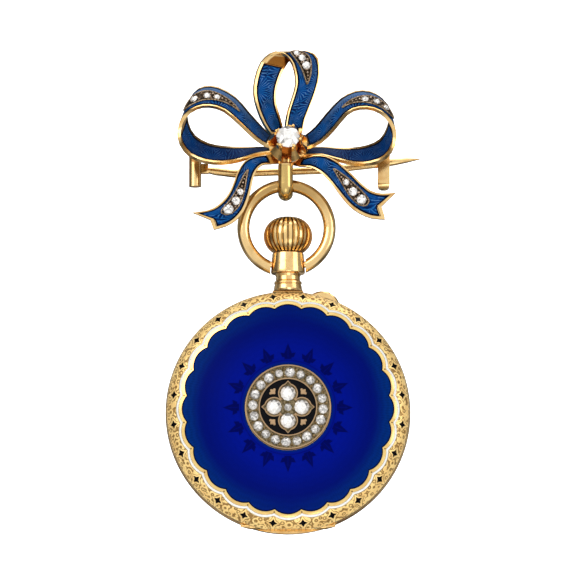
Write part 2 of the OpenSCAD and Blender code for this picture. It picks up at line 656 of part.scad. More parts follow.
// A bevelled disc that stands half out of the band
module guard() {
    difference() {
        rotate([0, 0, 90 - guard_angle]) translate([guard_centre_r, 0, 0]) rotate_extrude()
            polygon([[0, -guard_half], [guard_disc_r - guard_bevel, -guard_half],
                [guard_disc_r, guard_bevel - guard_half], [guard_disc_r, guard_half - guard_bevel],
                [guard_disc_r - guard_bevel, guard_half], [0, guard_half]]);
        translate([0, 0, -1]) cylinder(h = 2, r = guard_foot_r);
    }
}

module knuckle(from, to, r) {
    translate([from, hinge_y, hinge_z]) rotate([0, 90, 0]) cylinder(h = to - from, r = r);
}

// The band's knuckles taper from shoulder_x out to the sides, and stand on blocks
shoulder_x = 4.7;
pin_half = 5.1;
knuckle_tip_r = 0.08;
knuckle_from = cover_knuckle_half + 0.05;
block_low = -0.5;
block_h = 0.9;
BLOCK = [[knuckle_from, -0.28], [shoulder_x, -0.28], [hinge_half, 0.1], [hinge_half, 0.82],
    [knuckle_from, 0.82]];

// The pendant, cut where the cover's rim passes in front of it: below the top of the case it
// keeps only the band's own thickness
module pendant() {
    intersection() {
        neck_solid();
        translate([-neck_room, watch_y, case_z]) union() {
            translate([0, -neck_room, case_r - seat]) cube(2 * neck_room);
            translate([0, -band_top, neck_foot])
                cube([2 * neck_room, band_top - band_bottom, case_r - neck_foot]);
        }
    }
}

module band_knuckles() {
    for (m = [0, 1]) mirror([m, 0, 0]) {
        knuckle(knuckle_from, shoulder_x, hinge_tube_r);
        translate([shoulder_x, hinge_y, hinge_z]) rotate([0, 90, 0])
            cylinder(h = hinge_half - shoulder_x, r1 = hinge_tube_r, r2 = knuckle_tip_r);
        translate([0, hinge_y, block_low]) linear_extrude(block_h) polygon(BLOCK);
    }
}

// Room in the band for the cover's knuckle
cover_room = 0.1;
cover_room_z = 0.05;
module knuckle_room() {
    translate([-cover_knuckle_half - cover_room, cover_cut_y - through, cover_room_z])
        cube([2 * (cover_knuckle_half + cover_room), 2.2 * through, 2 * through]);
}

module case_band() {
    color("gold") difference() {
        union() {
            on_case() difference() {
                union() {
                    band_ring();
                    translate([0, 0, band_mid]) guard();
                }
                knuckle_room();
            }
            pendant();
            on_case() band_knuckles();
        }
        translate([0, watch_y, case_z + stem_bore_floor])
            cylinder(h = neck_room, r = stem_bore_r);
        translate([-neck_room, watch_y, trunnion_z]) rotate([0, 90, 0])
            cylinder(h = 2 * neck_room, r = trunnion_r + running_gap);
        on_case() knuckle(-pin_half - seat, pin_half + seat, hinge_pin_r + seat);
        on_case() translate([0, 0, band_mid]) rotate([0, 0, 90 - guard_angle]) rotate([0, 90, 0])
            cylinder(h = push_end + through, r = push_r + running_gap);
    }
}

module cover_hinge_pin() {
    color("goldenrod") on_case() knuckle(-pin_half, pin_half, hinge_pin_r);
}

module set_pin() {
    color("goldenrod") on_case() translate([0, 0, band_mid]) rotate([0, 0, 90 - guard_angle])
        rotate([0, 90, 0]) rotate_extrude()
            polygon([[0, push_start], [push_r, push_start], [push_r, push_end - push_bevel],
                [push_r - push_bevel, push_end], [0, push_end]]);
}

// The bezel, glass and dial on the wearer's side, from the band down
bezel_bottom = -3.6;
bezel_inner_r = 12.15;
bezel_arc_r = 2.8;
bezel_arc_cr = 12.4;
glass_r = 12.55;
glass_top_z = -2.8;
glass_crest_z = -4.15;
glass_t = 0.4;
glass_dome_r = 87;
dial_z = -2.28;
dial_t = 0.3;
dial_r = 13;
dial_hole_r = 0.4;
dial_seat_z = dial_z - 0.02;
movement_room_r = 13.9;
movement_room_z = -1.6;

// Room inside the bezel from one height up to another, out to radius r
module bezel_room(r, from, to) {
    translate([bezel_inner_r - through, from]) square([r - bezel_inner_r + through, to - from]);
}

module bezel() {
    color("gold") on_case() rotate_extrude() difference() {
        intersection() {
            translate([bezel_arc_cr, band_bottom - seat]) circle(r = bezel_arc_r);
            translate([bezel_inner_r, bezel_bottom])
                square([bezel_arc_r + 1, band_bottom - seat - bezel_bottom]);
        }
        bezel_room(dial_r + 0.05, dial_seat_z, movement_room_z + seat);
        bezel_room(glass_r + seat, bezel_bottom - through, glass_top_z);
        bezel_room(movement_room_r, movement_room_z, band_bottom + through);
    }
}

module crystal() {
    color([0.85, 0.93, 0.95, 0.35]) on_case() rotate_extrude() intersection() {
        translate([0, glass_dome_r + glass_crest_z]) difference() {
            circle(r = glass_dome_r, $fn = 720);
            translate([0, glass_t]) circle(r = glass_dome_r, $fn = 720);
        }
        translate([0, glass_top_z - seat - 2 * through]) square([glass_r, 2 * through]);
    }
}

module dial() {
    color("ivory") on_case() difference() {
        translate([0, 0, dial_z]) cylinder(h = dial_t, r = dial_r);
        translate([0, 0, dial_z - through]) cylinder(h = 2 * through, r = dial_hole_r);
    }
}

// A hand: a slender leaf with a round boss, its face towards the glass
module hand(length, width, boss, angle) {
    rotate([0, 0, angle]) linear_extrude(0.12) union() {
        circle(r = boss);
        polygon([[-width / 4, 0], [-width / 2, length * 0.45], [0, length], [width / 2, length * 0.45],
            [width / 4, 0]]);
        polygon([[-width / 3, 0], [0, -length * 0.24], [width / 3, 0]]);
    }
}

// Hands as they stand on the dial: length, width, boss and angle from the wearer's side, then
// the height of the blade, and the height, length and radius of the post
HOUR_HAND = [6.4, 1.3, 0.75, 54, -2.62, -2.55, 0.9, 0.35];
MINUTE_HAND = [9.6, 0.95, 0.55, -65, -2.9, -2.85, 1.3, 0.16];
hour_bore_r = 0.2;

module hand_on_post(h) {
    translate([0, 0, h[4]]) hand(h[0], h[1], h[2], h[3]);
    translate([0, 0, h[5]]) cylinder(h = h[6], r = h[7]);
}
module hour_hand() {
    color("midnightblue") on_case() difference() {
        hand_on_post(HOUR_HAND);
        translate([0, 0, HOUR_HAND[4] - through / 2]) cylinder(h = 2 * through, r = hour_bore_r);
    }
}
module minute_hand() color("midnightblue") on_case() hand_on_post(MINUTE_HAND);

// The inner cover: a thin dome inside a flat rim that lies in the band
inner_dome_r = 60;
inner_crest_z = 1.6;
inner_dome_t = 0.35;
inner_rim_r = 13.2;
inner_rim_z = -0.25;
inner_rim_t = 0.4;
inner_lap = 0.2;
module inner_cover() {
    color("gold") on_case() rotate_extrude() union() {
        translate([inner_rim_r, inner_rim_z])
            square([band_inner_r - seat - inner_rim_r, inner_rim_t]);
        intersection() {
            translate([0, inner_crest_z - inner_dome_r]) difference() {
                circle(r = inner_dome_r, $fn = 480);
                translate([0, -inner_dome_t]) circle(r = inner_dome_r, $fn = 480);
            }
            translate([0, inner_rim_z]) square([inner_rim_r + inner_lap, 3 * through]);
        }
    }
}

// The crown: an onion cut with flutes, on its winding stem
crown_z = -8.95;
crown_ball_r = 2.4;
crown_low = -11.0;
groove_d = 0.3;
winding_stem_l = 1.9;
// Corners of one rib, out and back: share of the pitch, and radius
RIB = [[0.02, 1.0], [0.28, 3.3], [0.72, 3.3], [0.98, 1.0]];
module onion(shrink) {
    rotate_extrude() intersection() {
        union() {
            translate([crown_r - crown_ball_r, 0]) circle(r = crown_ball_r - shrink);
            translate([0, -crown_ball_r + shrink])
                square([crown_r - crown_ball_r, 2 * (crown_ball_r - shrink)]);
        }
        translate([0, crown_low - crown_z + shrink]) square([crown_r + 1, 4 * crown_ball_r]);
    }
}

module crown() {
    rib = 360 / flutes;
    color("gold") translate([0, watch_y, crown_z]) union() {
        onion(groove_d);
        intersection() {
            onion(0);
            translate([0, 0, -2 * crown_ball_r]) linear_extrude(4 * crown_ball_r)
                polygon([for (i = [0:flutes - 1], k = RIB) let (a = rib * (i + k[0]))
                    [k[1] * cos(a), k[1] * sin(a)]]);
        }
        translate([0, 0, crown_low - crown_z - winding_stem_l])
            cylinder(h = winding_stem_l + 2 * groove_d, r = stem_bore_r - running_gap);
    }
}

// Surface of the cover: everything under the dome and the shoulder, shrunk by d
cover_core_h = 2.6;
cover_room_r = 20;
cover_room_h = 6;
module cover_profile(d) {
    intersection() {
        union() {
            translate([0, dome_cz]) intersection() {
                circle(r = dome_r - d, $fn = 720);
                square([dome_foot_r - 0.25 * d, dome_r]);
            }
            translate([shoulder_cr, shoulder_cz]) circle(r = shoulder_r - d);
            square([shoulder_cr, cover_core_h]);
        }
        square([cover_room_r, cover_room_h]);
    }
}

module scallops(grow, height) {
    linear_extrude(height) union() {
        circle(r = lobe_ring_r + 1);
        for (i = [0:lobes - 1]) rotate(360 * i / lobes + 90) translate([lobe_ring_r, 0])
            circle(r = lobe_r + grow, $fn = 64);
    }
}

// The white line lies between these two growths of the scallops
line_inner = 0.38;
line_outer = 0.7;
line_depth = 0.2;
line_ring_r = 11;
star_ring_r = 14.35;
star_depth = 0.16;
star_r = 0.62;
star_waist = 0.52;
star_rim = 0.06;

// Carries its children to the middle of star i, standing square on the rim
module on_star(i, lift) {
    slope = asin((star_ring_r - shoulder_cr) / shoulder_r);
    z = shoulder_cz + shoulder_r * cos(slope);
    rotate([0, 0, 360 * (i + 0.5) / lobes]) translate([0, star_ring_r, z])
        rotate([-slope, 0, 0]) translate([0, 0, lift]) children();
}

module star_outline(half) {
    polygon([for (i = [0:3], k = [0, 1]) let (a = 90 * i + 45 * k, r = half * (k == 0 ? 1 : star_waist))
        [r * cos(a), r * sin(a)]]);
}

// The cover's hollow, its lip that fits in the band, and the straight edge at its hinge
hollow_r = 13;
hollow_top = 2.1;
lip_groove_r = 12.9;
lip_groove_w = 0.95;
lip_groove_top = 1.2;
hinge_edge_half = 8;
knuckle_room_end = 7.5;
hinge_flat_half = 5;
hinge_flat = [0.47, 0.58];
rosette_room = 0.62;

module cover_shell() {
    rotate_extrude() difference() {
        intersection() {
            cover_profile(0);
            translate([0, band_top + 0.05]) square([cover_room_r, cover_room_h]);
        }
        translate([0, dome_cz]) intersection() {
            circle(r = cover_inner_dome_r, $fn = 720);
            square([hollow_r, dome_r]);
        }
        translate([0, -through]) square([hollow_r, hollow_top + through]);
        translate([lip_groove_r, -through]) square([lip_groove_w, lip_groove_top + through]);
    }
}

// What is cut from the shell along the hinge: the straight edge, and room for the band's knuckles
module hinge_cut() {
    translate([-hinge_edge_half, cover_cut_y - 2 * through, -through])
        cube([2 * hinge_edge_half, 2 * through, cover_room_h]);
    for (m = [0, 1]) mirror([m, 0, 0]) {
        knuckle(cover_knuckle_half, knuckle_room_end, hinge_tube_r + 0.07);
        translate([cover_knuckle_half, cover_cut_y - through, -through])
            cube([knuckle_room_end - cover_knuckle_half, 2.4 * through, through + hinge_z]);
    }
    translate([-hinge_flat_half, hinge_y - hinge_flat[0], -through])
        cube([2 * hinge_flat_half, hinge_flat[0] + hinge_flat[1], through + hinge_z]);
}

module field_channel() {
    intersection() {
        scallops(0, cover_room_h);
        rotate_extrude() difference() {
            translate([0, 1.5 * through]) square([cover_room_r, cover_room_h]);
            translate([0, dome_cz]) circle(r = dome_r - enamel_depth, $fn = 720);
        }
    }
}

module line_channel() {
    intersection() {
        difference() {
            scallops(line_outer, cover_room_h);
            translate([0, 0, -through]) scallops(line_inner, cover_room_h + 2 * through);
        }
        rotate_extrude() difference() {
            translate([line_ring_r, through]) square([cover_room_r, cover_room_h]);
            cover_profile(line_depth);
        }
    }
}

module back_cover() {
    color("gold") on_case() difference() {
        union() {
            difference() {
                cover_shell();
                hinge_cut();
            }
            knuckle(-cover_knuckle_half, cover_knuckle_half, hinge_tube_r);
        }
        knuckle(-hinge_edge_half, hinge_edge_half, hinge_pin_r + running_gap);
        field_channel();
        line_channel();
        translate([0, 0, dome_h - rosette_room]) cylinder(h = 2 * through, r = rosette_r + 0.05);
        for (i = [0:lobes - 1])
            on_star(i, -star_depth - 0.1) linear_extrude(through) star_outline(star_r);
    }
}

module field_enamel() {
    color("mediumblue") on_case() difference() {
        intersection() {
            scallops(-seat, cover_room_h);
            rotate_extrude() difference() {
                intersection() {
                    translate([0, dome_cz]) circle(r = dome_r, $fn = 720);
                    square([cover_room_r, cover_room_h]);
                }
                translate([0, dome_cz]) circle(r = dome_r - enamel_depth + seat, $fn = 720);
            }
        }
        translate([0, 0, through]) cylinder(h = cover_room_h, r = rosette_r + 0.1);
    }
}

module white_line_enamel() {
    color("white") on_case() intersection() {
        difference() {
            scallops(line_outer - seat, cover_room_h);
            translate([0, 0, -through]) scallops(line_inner + seat, cover_room_h + 2 * through);
        }
        rotate_extrude() difference() {
            intersection() {
                cover_profile(0);
                translate([line_ring_r, through]) square([cover_room_r, cover_room_h]);
            }
            cover_profile(line_depth - seat);
        }
    }
}

module star_enamels() {
    color("black") on_case() for (i = [0:lobes - 1])
        on_star(i, -star_depth - 0.1 + seat) linear_extrude(star_depth - 0.02)
            star_outline(star_r - star_rim);
}

// The rosette: height of its bed, and outline of the four pointed petals
rosette_base = dome_h - 0.6;
bed_z = 4.55;
enamel_bed_z = 4.35;
rim_z = 4.85;
inner_ring_r = 3.5;
outer_rim_w = 0.13;
fine_rim_w = 0.12;
petal_r = 1.22;
petal_tip_r = 3.3;
petal_neck = [0.4, 1.05];
petal_middle_r = 1.2;
rosette_enamel_t = 0.26;

module petals(grow) {
    for (a = [0:90:270]) rotate(a) union() {
        translate([petal_ring_r, 0]) circle(r = petal_r + grow);
        polygon([[petal_ring_r + petal_neck[0], -petal_neck[1] - grow], [petal_tip_r + grow, 0],
            [petal_ring_r + petal_neck[0], petal_neck[1] + grow]]);
    }
    circle(r = petal_middle_r);
}

// Four small leaves between the petals: two diamonds in line, as place and side, and two balls
leaf_body = [2.6, 0.5];
leaf_tip = [2.88, 0.3];
leaf_ball = [2.72, 0.33];
leaf_ball_r = 0.15;
module leaves(grow) {
    for (a = [45:90:315]) rotate(a) union() {
        for (part = [leaf_body, leaf_tip]) translate([part[0], 0]) rotate(45)
            square(part[1] + 2 * grow, center = true);
        for (m = [-1, 1]) translate([leaf_ball[0], leaf_ball[1] * m]) circle(r = leaf_ball_r + grow);
    }
}

// A flat ring from radius r inwards
module rim(r, w) {
    difference() {
        circle(r = r);
        circle(r = r - w);
    }
}

module rosette_plate() {
    color("darkkhaki") on_case() union() {
        translate([0, 0, rosette_base + seat])
            cylinder(h = enamel_bed_z - rosette_base - seat, r = rosette_r);
        translate([0, 0, rosette_base + seat]) linear_extrude(bed_z - rosette_base - seat) {
            rim(rosette_r, rosette_r - inner_ring_r);
            petals(0);
            leaves(0);
        }
        translate([0, 0, rosette_base + seat]) linear_extrude(rim_z - rosette_base - seat) {
            rim(rosette_r, outer_rim_w);
            rim(inner_ring_r + fine_rim_w, fine_rim_w);
            difference() {
                petals(0);
                petals(-fine_rim_w);
            }
            leaves(0);
        }
    }
}

module rosette_enamel() {
    color("black") on_case() translate([0, 0, enamel_bed_z + seat])
        linear_extrude(rosette_enamel_t) difference() {
            circle(r = inner_ring_r - seat);
            petals(seat);
            leaves(seat);
        }
}

// Old stones are uneven: sizes of the border stones as shares of the named radius, from the
// stone next to the top one round to the left
STONE_SHARES = [1.08, 0.84, 1.08, 1.0, 1.05, 1.0, 0.98, 1.08, 0.92, 1.0, 1.06, 0.95, 1.08, 0.95,
    1.08, 1.0, 0.96, 1.06, 0.95, 0.9];
first_stone_angle = 86.8;
border_stone_h = 0.5;
petal_stone_h = 0.75;
middle_stone_r = 0.48;

module border_diamonds() {
    color("white") on_case() for (i = [0:border_stones - 1])
        rotate([0, 0, first_stone_angle + 360 * i / border_stones])
            translate([border_ring_r, 0, bed_z + seat])
                rose_cut(border_stone_r * STONE_SHARES[i], border_stone_h);
}

module petal_diamond(i) {
    color("white") on_case() rotate([0, 0, 90 * i]) translate([petal_ring_r, 0, bed_z + seat])
        rose_cut(petal_stone_r, petal_stone_h);
}

module rosette_diamond() {
    color("white") on_case() translate([0, 0, bed_z + seat])
        rose_cut(middle_stone_r, border_stone_h);
}

bow_frame();
left_loop_enamel();
top_loop_enamel();
right_loop_enamel();
left_tail_enamel();
right_tail_enamel();
left_loop_panel();
top_loop_panel();
right_loop_panel();
left_tail_panel();
right_tail_panel();
for (i = [1:15]) bow_diamond(i);
centre_setting();
centre_diamond();
pin_stem();
stem_rivet();
watch_ring();
case_band();
bezel();
crystal();
dial();
inner_cover();
hour_hand();
minute_hand();
cover_hinge_pin();
crown();
set_pin();
back_cover();
field_enamel();
white_line_enamel();
star_enamels();
rosette_plate();
rosette_enamel();
border_diamonds();
for (i = [1:4]) petal_diamond(i);
rosette_diamond();
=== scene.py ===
"""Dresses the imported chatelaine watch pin: enamelled ribbon bow, pendant watch, stage and camera."""

from __future__ import annotations

import logging
import math
from dataclasses import dataclass, field
from enum import Enum

import bmesh
import bpy
from mathutils import Matrix, Vector

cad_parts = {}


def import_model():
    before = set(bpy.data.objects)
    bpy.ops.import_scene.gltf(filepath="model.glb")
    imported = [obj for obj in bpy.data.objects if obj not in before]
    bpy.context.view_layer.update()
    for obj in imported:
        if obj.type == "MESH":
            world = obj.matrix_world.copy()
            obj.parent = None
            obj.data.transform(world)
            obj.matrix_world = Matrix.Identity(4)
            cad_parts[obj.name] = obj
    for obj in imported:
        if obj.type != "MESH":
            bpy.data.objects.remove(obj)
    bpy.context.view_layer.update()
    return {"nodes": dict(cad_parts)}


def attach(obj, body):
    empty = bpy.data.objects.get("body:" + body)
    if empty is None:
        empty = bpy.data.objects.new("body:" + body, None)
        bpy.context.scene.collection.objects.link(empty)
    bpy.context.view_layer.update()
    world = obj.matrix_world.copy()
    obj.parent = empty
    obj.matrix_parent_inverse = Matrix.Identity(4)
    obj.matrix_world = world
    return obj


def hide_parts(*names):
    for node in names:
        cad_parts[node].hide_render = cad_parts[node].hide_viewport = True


LOG = logging.getLogger("watch_pin")

Colour = tuple[float, float, float]
Point = tuple[float, float, float]
Pair = tuple[float, float]
Plan = tuple[float, float, float, float]
Row = tuple[float, float, float, float, float, float]
Sheet = list[list[bmesh.types.BMVert]]
Material = bpy.types.Material
Socket = bpy.types.NodeSocket
Thing = bpy.types.Object

# Places and sizes here and in the classes are in millimetres, angles in degrees
MM = 0.001  # one millimetre in metres
WATCH_Y = -4.0  # middle plane of the watch
CASE_Z = -31.22  # height of the watch's middle
LOBES = 24  # scallops round the blue field
LOBE_OUT = 10.64  # from the watch's middle to the middle of a scallop's arc
LOBE_R = 2.56  # radius of that arc
ROUND_R = 11.2  # radius of the round field that the scallops stand on
SETTING_FOOT = (0.0, -5.03, 1.85)  # where the centre setting's axis starts
SETTING_TILT = 17.0  # how far that axis looks up
GOLD = (0.92, 0.64, 0.29)  # colour of the polished gold
SCRATCH = 0.002  # depth of the handling marks in it
FULL = 2 * math.pi  # one turn, in radians
RUN = "run"  # the enamel's attribute: distance along the ribbon, across it and to the edge
RIBBONS = ("left_loop", "top_loop", "right_loop", "left_tail", "right_tail")


class Body(Enum):
    """Bodies of the frame that pieces ride on."""

    BROOCH = "brooch"
    CASE = "case"
    COVER = "cover"


class Slot(Enum):
    """Material slots of the record."""

    ANTIQUE = "antique_gold"
    SILVER = "panel_silver"
    BOW_ENAMEL = "bow_enamel"
    DIAMOND = "diamond"
    BLACK = "black_enamel"


# Shader maths


@dataclass
class Value:
    """A number socket that takes part in Python arithmetic; each operator adds one Math node."""

    graph: Graph
    socket: Socket

    def maths(self, operation: str, *others: float | Value) -> Value:
        """Result of a Math node that takes this value first, then the others."""
        values = dict(enumerate((self, *others)))
        return self.graph.value("ShaderNodeMath", {"operation": operation}, values)

    def __add__(self, other: float | Value) -> Value:
        """Sum."""
        return self.maths("ADD", other)

    def __radd__(self, other: float) -> Value:
        """Sum with a number on the left."""
        return self.maths("ADD", other)

    def __sub__(self, other: float | Value) -> Value:
        """Difference."""
        return self.maths("SUBTRACT", other)

    def __rsub__(self, other: float) -> Value:
        """Number minus this value."""
        return (self * -1.0) + other

    def __mul__(self, other: float | Value) -> Value:
        """Product."""
        return self.maths("MULTIPLY", other)

    def __rmul__(self, other: float) -> Value:
        """Product with a number on the left."""
        return self.maths("MULTIPLY", other)

    def __truediv__(self, other: float | Value) -> Value:
        """Quotient."""
        return self.maths("DIVIDE", other)

    def sin(self) -> Value:
        """Sine of the angle in radians."""
        return self.maths("SINE")

    def cos(self) -> Value:
        """Cosine of the angle in radians."""
        return self.maths("COSINE")

    def fract(self) -> Value:
        """Part after the decimal point."""
        return self.maths("FRACT")

    def size(self) -> Value:
        """Absolute value."""
        return self.maths("ABSOLUTE")

    def root(self) -> Value:
        """Square root."""
        return self.maths("SQRT")

    def angle_to(self, other: Value) -> Value:
        """Angle whose tangent is this value over the other."""
        return self.maths("ARCTAN2", other)

    def at_least(self, other: float | Value) -> Value:
        """The larger of the two."""
        return self.maths("MAXIMUM", other)

    def at_most(self, other: float | Value) -> Value:
        """The smaller of the two."""
        return self.maths("MINIMUM", other)

    def rise(self, low: float, high: float) -> Value:
        """Smooth step from 0 at low to 1 at high."""
        values = {"Value": self, "From Min": low, "From Max": high}
        return self.graph.value("ShaderNodeMapRange", {"interpolation_type": "SMOOTHSTEP"}, values)

    def within(self, low: float, high: float, soft: float) -> Value:
        """1 between low and high, falling to 0 over soft on either side."""
        return self.rise(low - soft, low + soft) * (1 - self.rise(high - soft, high + soft))


@dataclass
class Graph:
    """A node graph that is built from Python expressions."""

    tree: bpy.types.NodeTree

    def node(
        self,
        kind: str,
        settings: dict[str, object] | None = None,
        values: dict[str | int, object] | None = None,
    ) -> bpy.types.Node:
        """Adds a node.

        Args:
            kind: The node's type name.
            settings: Properties of the node, set first.
            values: What goes into its sockets, as numbers, colours, sockets or Values.

        Returns:
            The node.
        """
        made = self.tree.nodes.new(kind)
        for key, value in (settings or {}).items():
            setattr(made, key, value)
        for key, value in (values or {}).items():
            self.feed(made.inputs[key], value)
        return made

    def value(
        self, kind: str, settings: dict[str, object] | None, values: dict[str | int, object]
    ) -> Value:
        """First output of a new node."""
        return Value(self, self.node(kind, settings, values).outputs[0])

    def feed(self, socket: Socket, value: object) -> None:
        """Links or sets one input socket.

        Args:
            socket: The input.
            value: A Value, an output socket, a number or a tuple.
        """
        if isinstance(value, Value):
            value = value.socket
        if isinstance(value, Socket):
            self.tree.links.new(value, socket)
        elif isinstance(value, tuple) and socket.type == "RGBA":
            socket.default_value = (*value, 1)
        else:
            socket.default_value = value

    def place(self) -> tuple[Socket, Value, Value, Value]:
        """Position on the part in millimetres.

        Returns:
            The vector, and its x, y and z.
        """
        source = self.node("ShaderNodeTexCoord").outputs["Object"]
        scaled = self.vector("SCALE", {0: source, "Scale": 1 / MM})
        return scaled, *self.split(scaled)

    def vector(self, operation: str, values: dict[str | int, object]) -> Socket:
        """Result of a Vector Math node."""
        return self.node("ShaderNodeVectorMath", {"operation": operation}, values).outputs[0]

    def split(self, vector: Socket) -> list[Value]:
        """The three numbers of a vector."""
        made = self.node("ShaderNodeSeparateXYZ", None, {0: vector})
        return [Value(self, out) for out in made.outputs]

    def point(self, x: Value, y: Value | float, z: Value) -> Socket:
        """A vector from three numbers."""
        return self.node("ShaderNodeCombineXYZ", None, {0: x, 1: y, 2: z}).outputs[0]

    def noise(self, vector: Socket, scale: float, detail: float = 2.0) -> Value:
        """Noise from 0 to 1, with about scale bumps for each millimetre."""
        values = {"Vector": vector, "Scale": scale, "Detail": detail}
        return self.value("ShaderNodeTexNoise", None, values)

    def mix(self, factor: Value | float, low: object, high: object) -> Socket:
        """Colour from low at factor 0 to high at factor 1."""
        values = {0: factor, 6: low, 7: high}
        return self.node("ShaderNodeMix", {"data_type": "RGBA"}, values).outputs[2]

    def relief(self, height: Value, depth: float) -> Socket:
        """A bump that feeds Normal, as deep as depth says."""
        values = {"Strength": 1.0, "Distance": depth * MM, "Height": height}
        return self.node("ShaderNodeBump", None, values).outputs[0]


class Coat(Graph):
    """The graph of one material, with a single Principled shader."""

    def __init__(self, name: str) -> None:
        """Starts an empty material.

        Args:
            name: The material's name.
        """
        self.material = bpy.data.materials.new(name)
        self.material.use_nodes = True
        self.tree = self.material.node_tree
        self.shader = self.tree.nodes["Principled BSDF"]

    def finish(self, values: dict[str, object]) -> Material:
        """Feeds the shader.

        Args:
            values: Its sockets' names with their values or links.

        Returns:
            The material.
        """
        for key, value in values.items():
            self.feed(self.shader.inputs[key], value)
        return self.material


class Polar:
    """Places on the back cover: distance from its middle, angle from the top, and the scallops."""

    def __init__(self, graph: Graph) -> None:
        """Reads the place and works out the polar values.

        Args:
            graph: The material's graph.
        """
        self.vector, self.x, self.y, z = graph.place()
        self.up = z - CASE_Z
        self.r = (self.x * self.x + self.up * self.up).root()
        self.turn = self.x.angle_to(self.up) / FULL

    def folded(self, count: int, shift: float) -> Value:
        """Angle from the nearest of count equal directions, in radians."""
        return ((self.turn * count + shift).fract() - 0.5) * (FULL / count)

    def scallop(self) -> Value:
        """Measures from the scalloped outline of the blue field.

        Returns:
            The distance outside the outline, negative on the field.
        """
        a = self.folded(LOBES, LOBES + 0.5)
        across = self.r * a.sin()
        along = self.r * a.cos() - LOBE_OUT
        lobe = (across * across + along * along).root() - LOBE_R
        return lobe.at_most(self.r - ROUND_R)


# Finishes


@dataclass(frozen=True)
class PolishedGold:
    """Polished yellow gold with faint handling marks."""

    name: str = "gold"
    colour: Colour = GOLD
    deep: Colour = (0.80, 0.49, 0.18)

    def build(self) -> Material:
        """Makes the material.

        Returns:
            The material.
        """
        g = Coat(self.name)
        vector, *_ = g.place()
        cloud = g.noise(vector, 0.7, 3)
        marks = g.noise(vector, 9.0, 5)
        return g.finish({
            "Base Color": g.mix(cloud.rise(0.35, 0.75), self.colour, self.deep),
            "Metallic": 1.0,
            "Roughness": marks * 0.12 + 0.1,
            "Normal": g.relief(marks, SCRATCH),
        })


@dataclass(frozen=True)
class RingGold:
    """The ring's gold, with painted shade that darkens it towards the top, where it hangs in the hook,
    and random darker patches.
    """

    name: str = "ring_gold"
    colour: Colour = GOLD
    # worn: the darker colour of the painted shade at the top and of the random darker patches
    worn: Colour = (0.50, 0.31, 0.11)
    shade_z: Pair = (-6.5, -1.6)  # the painted shade grows over these heights

    def build(self) -> Material:
        """Makes the material.

        Returns:
            The material.
        """
        g = Coat(self.name)
        vector, _, _, z = g.place()
        cloud = g.noise(vector, 0.6, 2)
        marks = g.noise(vector, 9.0, 4)
        # painted shade towards the top; wear joins it with random darker patches
        top = (z + cloud * 2.0).rise(*self.shade_z)
        wear = top.at_least(cloud.rise(0.45, 0.8) * 0.5)
        return g.finish({
            "Base Color": g.mix(wear, self.colour, self.worn),
            "Metallic": 1.0,
            "Roughness": marks * 0.1 + 0.1,
            "Normal": g.relief(marks, SCRATCH),
        })


@dataclass(frozen=True)
class RibbonGold:
    """The bow's gold, with painted shade: brown along the rear edges, olive on the hook, and dark orange
    under the top loop's crest.
    """

    name: str = "ribbon_gold"
    colour: Colour = GOLD
    deep: Colour = (0.72, 0.42, 0.15)
    # painted shade on the rear edges
    brown: Colour = (0.34, 0.24, 0.14)
    # painted shade under the top loop's crest, dark orange
    crest_shade: Colour = (0.30, 0.115, 0.02)
    # painted shade on the hook
    olive: Colour = (0.66, 0.45, 0.16)
    rear_y: Pair = (-3.15, -3.05)  # the painted brown shade on the rear edges begins here
    rear_z: Pair = (2.3, 2.6)  # and are above these heights
    hook_x: Pair = (-1.4, 0.8)  # the hook, which is olive with painted shade
    hook_z: Pair = (-0.25, 0.0)
    crest_x: Pair = (-3.4, 0.9)  # painted shade under the top loop's crest
    crest_y: Pair = (-4.66, -4.56)
    crest_z: Pair = (12.5, 14.0)

    def build(self) -> Material:
        """Makes the material.

        Returns:
            The material.
        """
        g = Coat(self.name)
        vector, x, y, z = g.place()
        cloud = g.noise(vector, 0.6, 2)
        marks = g.noise(vector, 9.0, 4)
        gold = g.mix(cloud.rise(0.4, 0.75), self.colour, self.deep)
        rear = y.rise(*self.rear_y) * z.rise(*self.rear_z)
        gold = g.mix(rear * 0.85, gold, self.brown)
        hook = x.within(*self.hook_x, 0.05) * (1 - z.rise(*self.hook_z))
        gold = g.mix(hook, gold, self.olive)
        under = z.within(*self.crest_z, 0.12) * x.within(*self.crest_x, 0.15) * y.rise(*self.crest_y)
        return g.finish({
            "Base Color": g.mix(under, gold, self.crest_shade),
            "Metallic": 1.0,
            "Roughness": marks * 0.12 + 0.12,
            "Normal": g.relief(marks, SCRATCH),
        })


@dataclass(frozen=True)
class SettingGold:
    """The claw setting's gold, with dark orange painted shade inside the cup."""

    name: str = "setting_gold"
    colour: Colour = (0.90, 0.58, 0.22)
    cup_shade: Colour = (0.36, 0.10, 0.012)
    cup_r: Pair = (1.75, 2.1)  # the painted shade ends between these radii
    cup_top: Pair = (2.5, 2.9)  # and between these heights over the foot

    def build(self) -> Material:
        """Makes the material.

        Returns:
            The material.
        """
        g = Coat(self.name)
        vector, x, y, z = g.place()
        dy, dz = y - SETTING_FOOT[1], z - SETTING_FOOT[2]
        lean = math.radians(SETTING_TILT)
        axial = dz * math.sin(lean) - dy * math.cos(lean)
        radial = (x * x + dy * dy + dz * dz - axial * axial).at_least(0.0).root()
        inside = (1 - radial.rise(*self.cup_r)) * (1 - axial.rise(*self.cup_top))
        marks = g.noise(vector, 7.0, 3)
        # painted shade inside the cup, joined with random darker marks
        dark = inside.at_least(marks.rise(0.5, 0.9) * 0.4)
        return g.finish({
            "Base Color": g.mix(dark, self.colour, self.cup_shade),
            "Metallic": 1.0,
            "Roughness": marks * 0.12 + 0.1,
        })


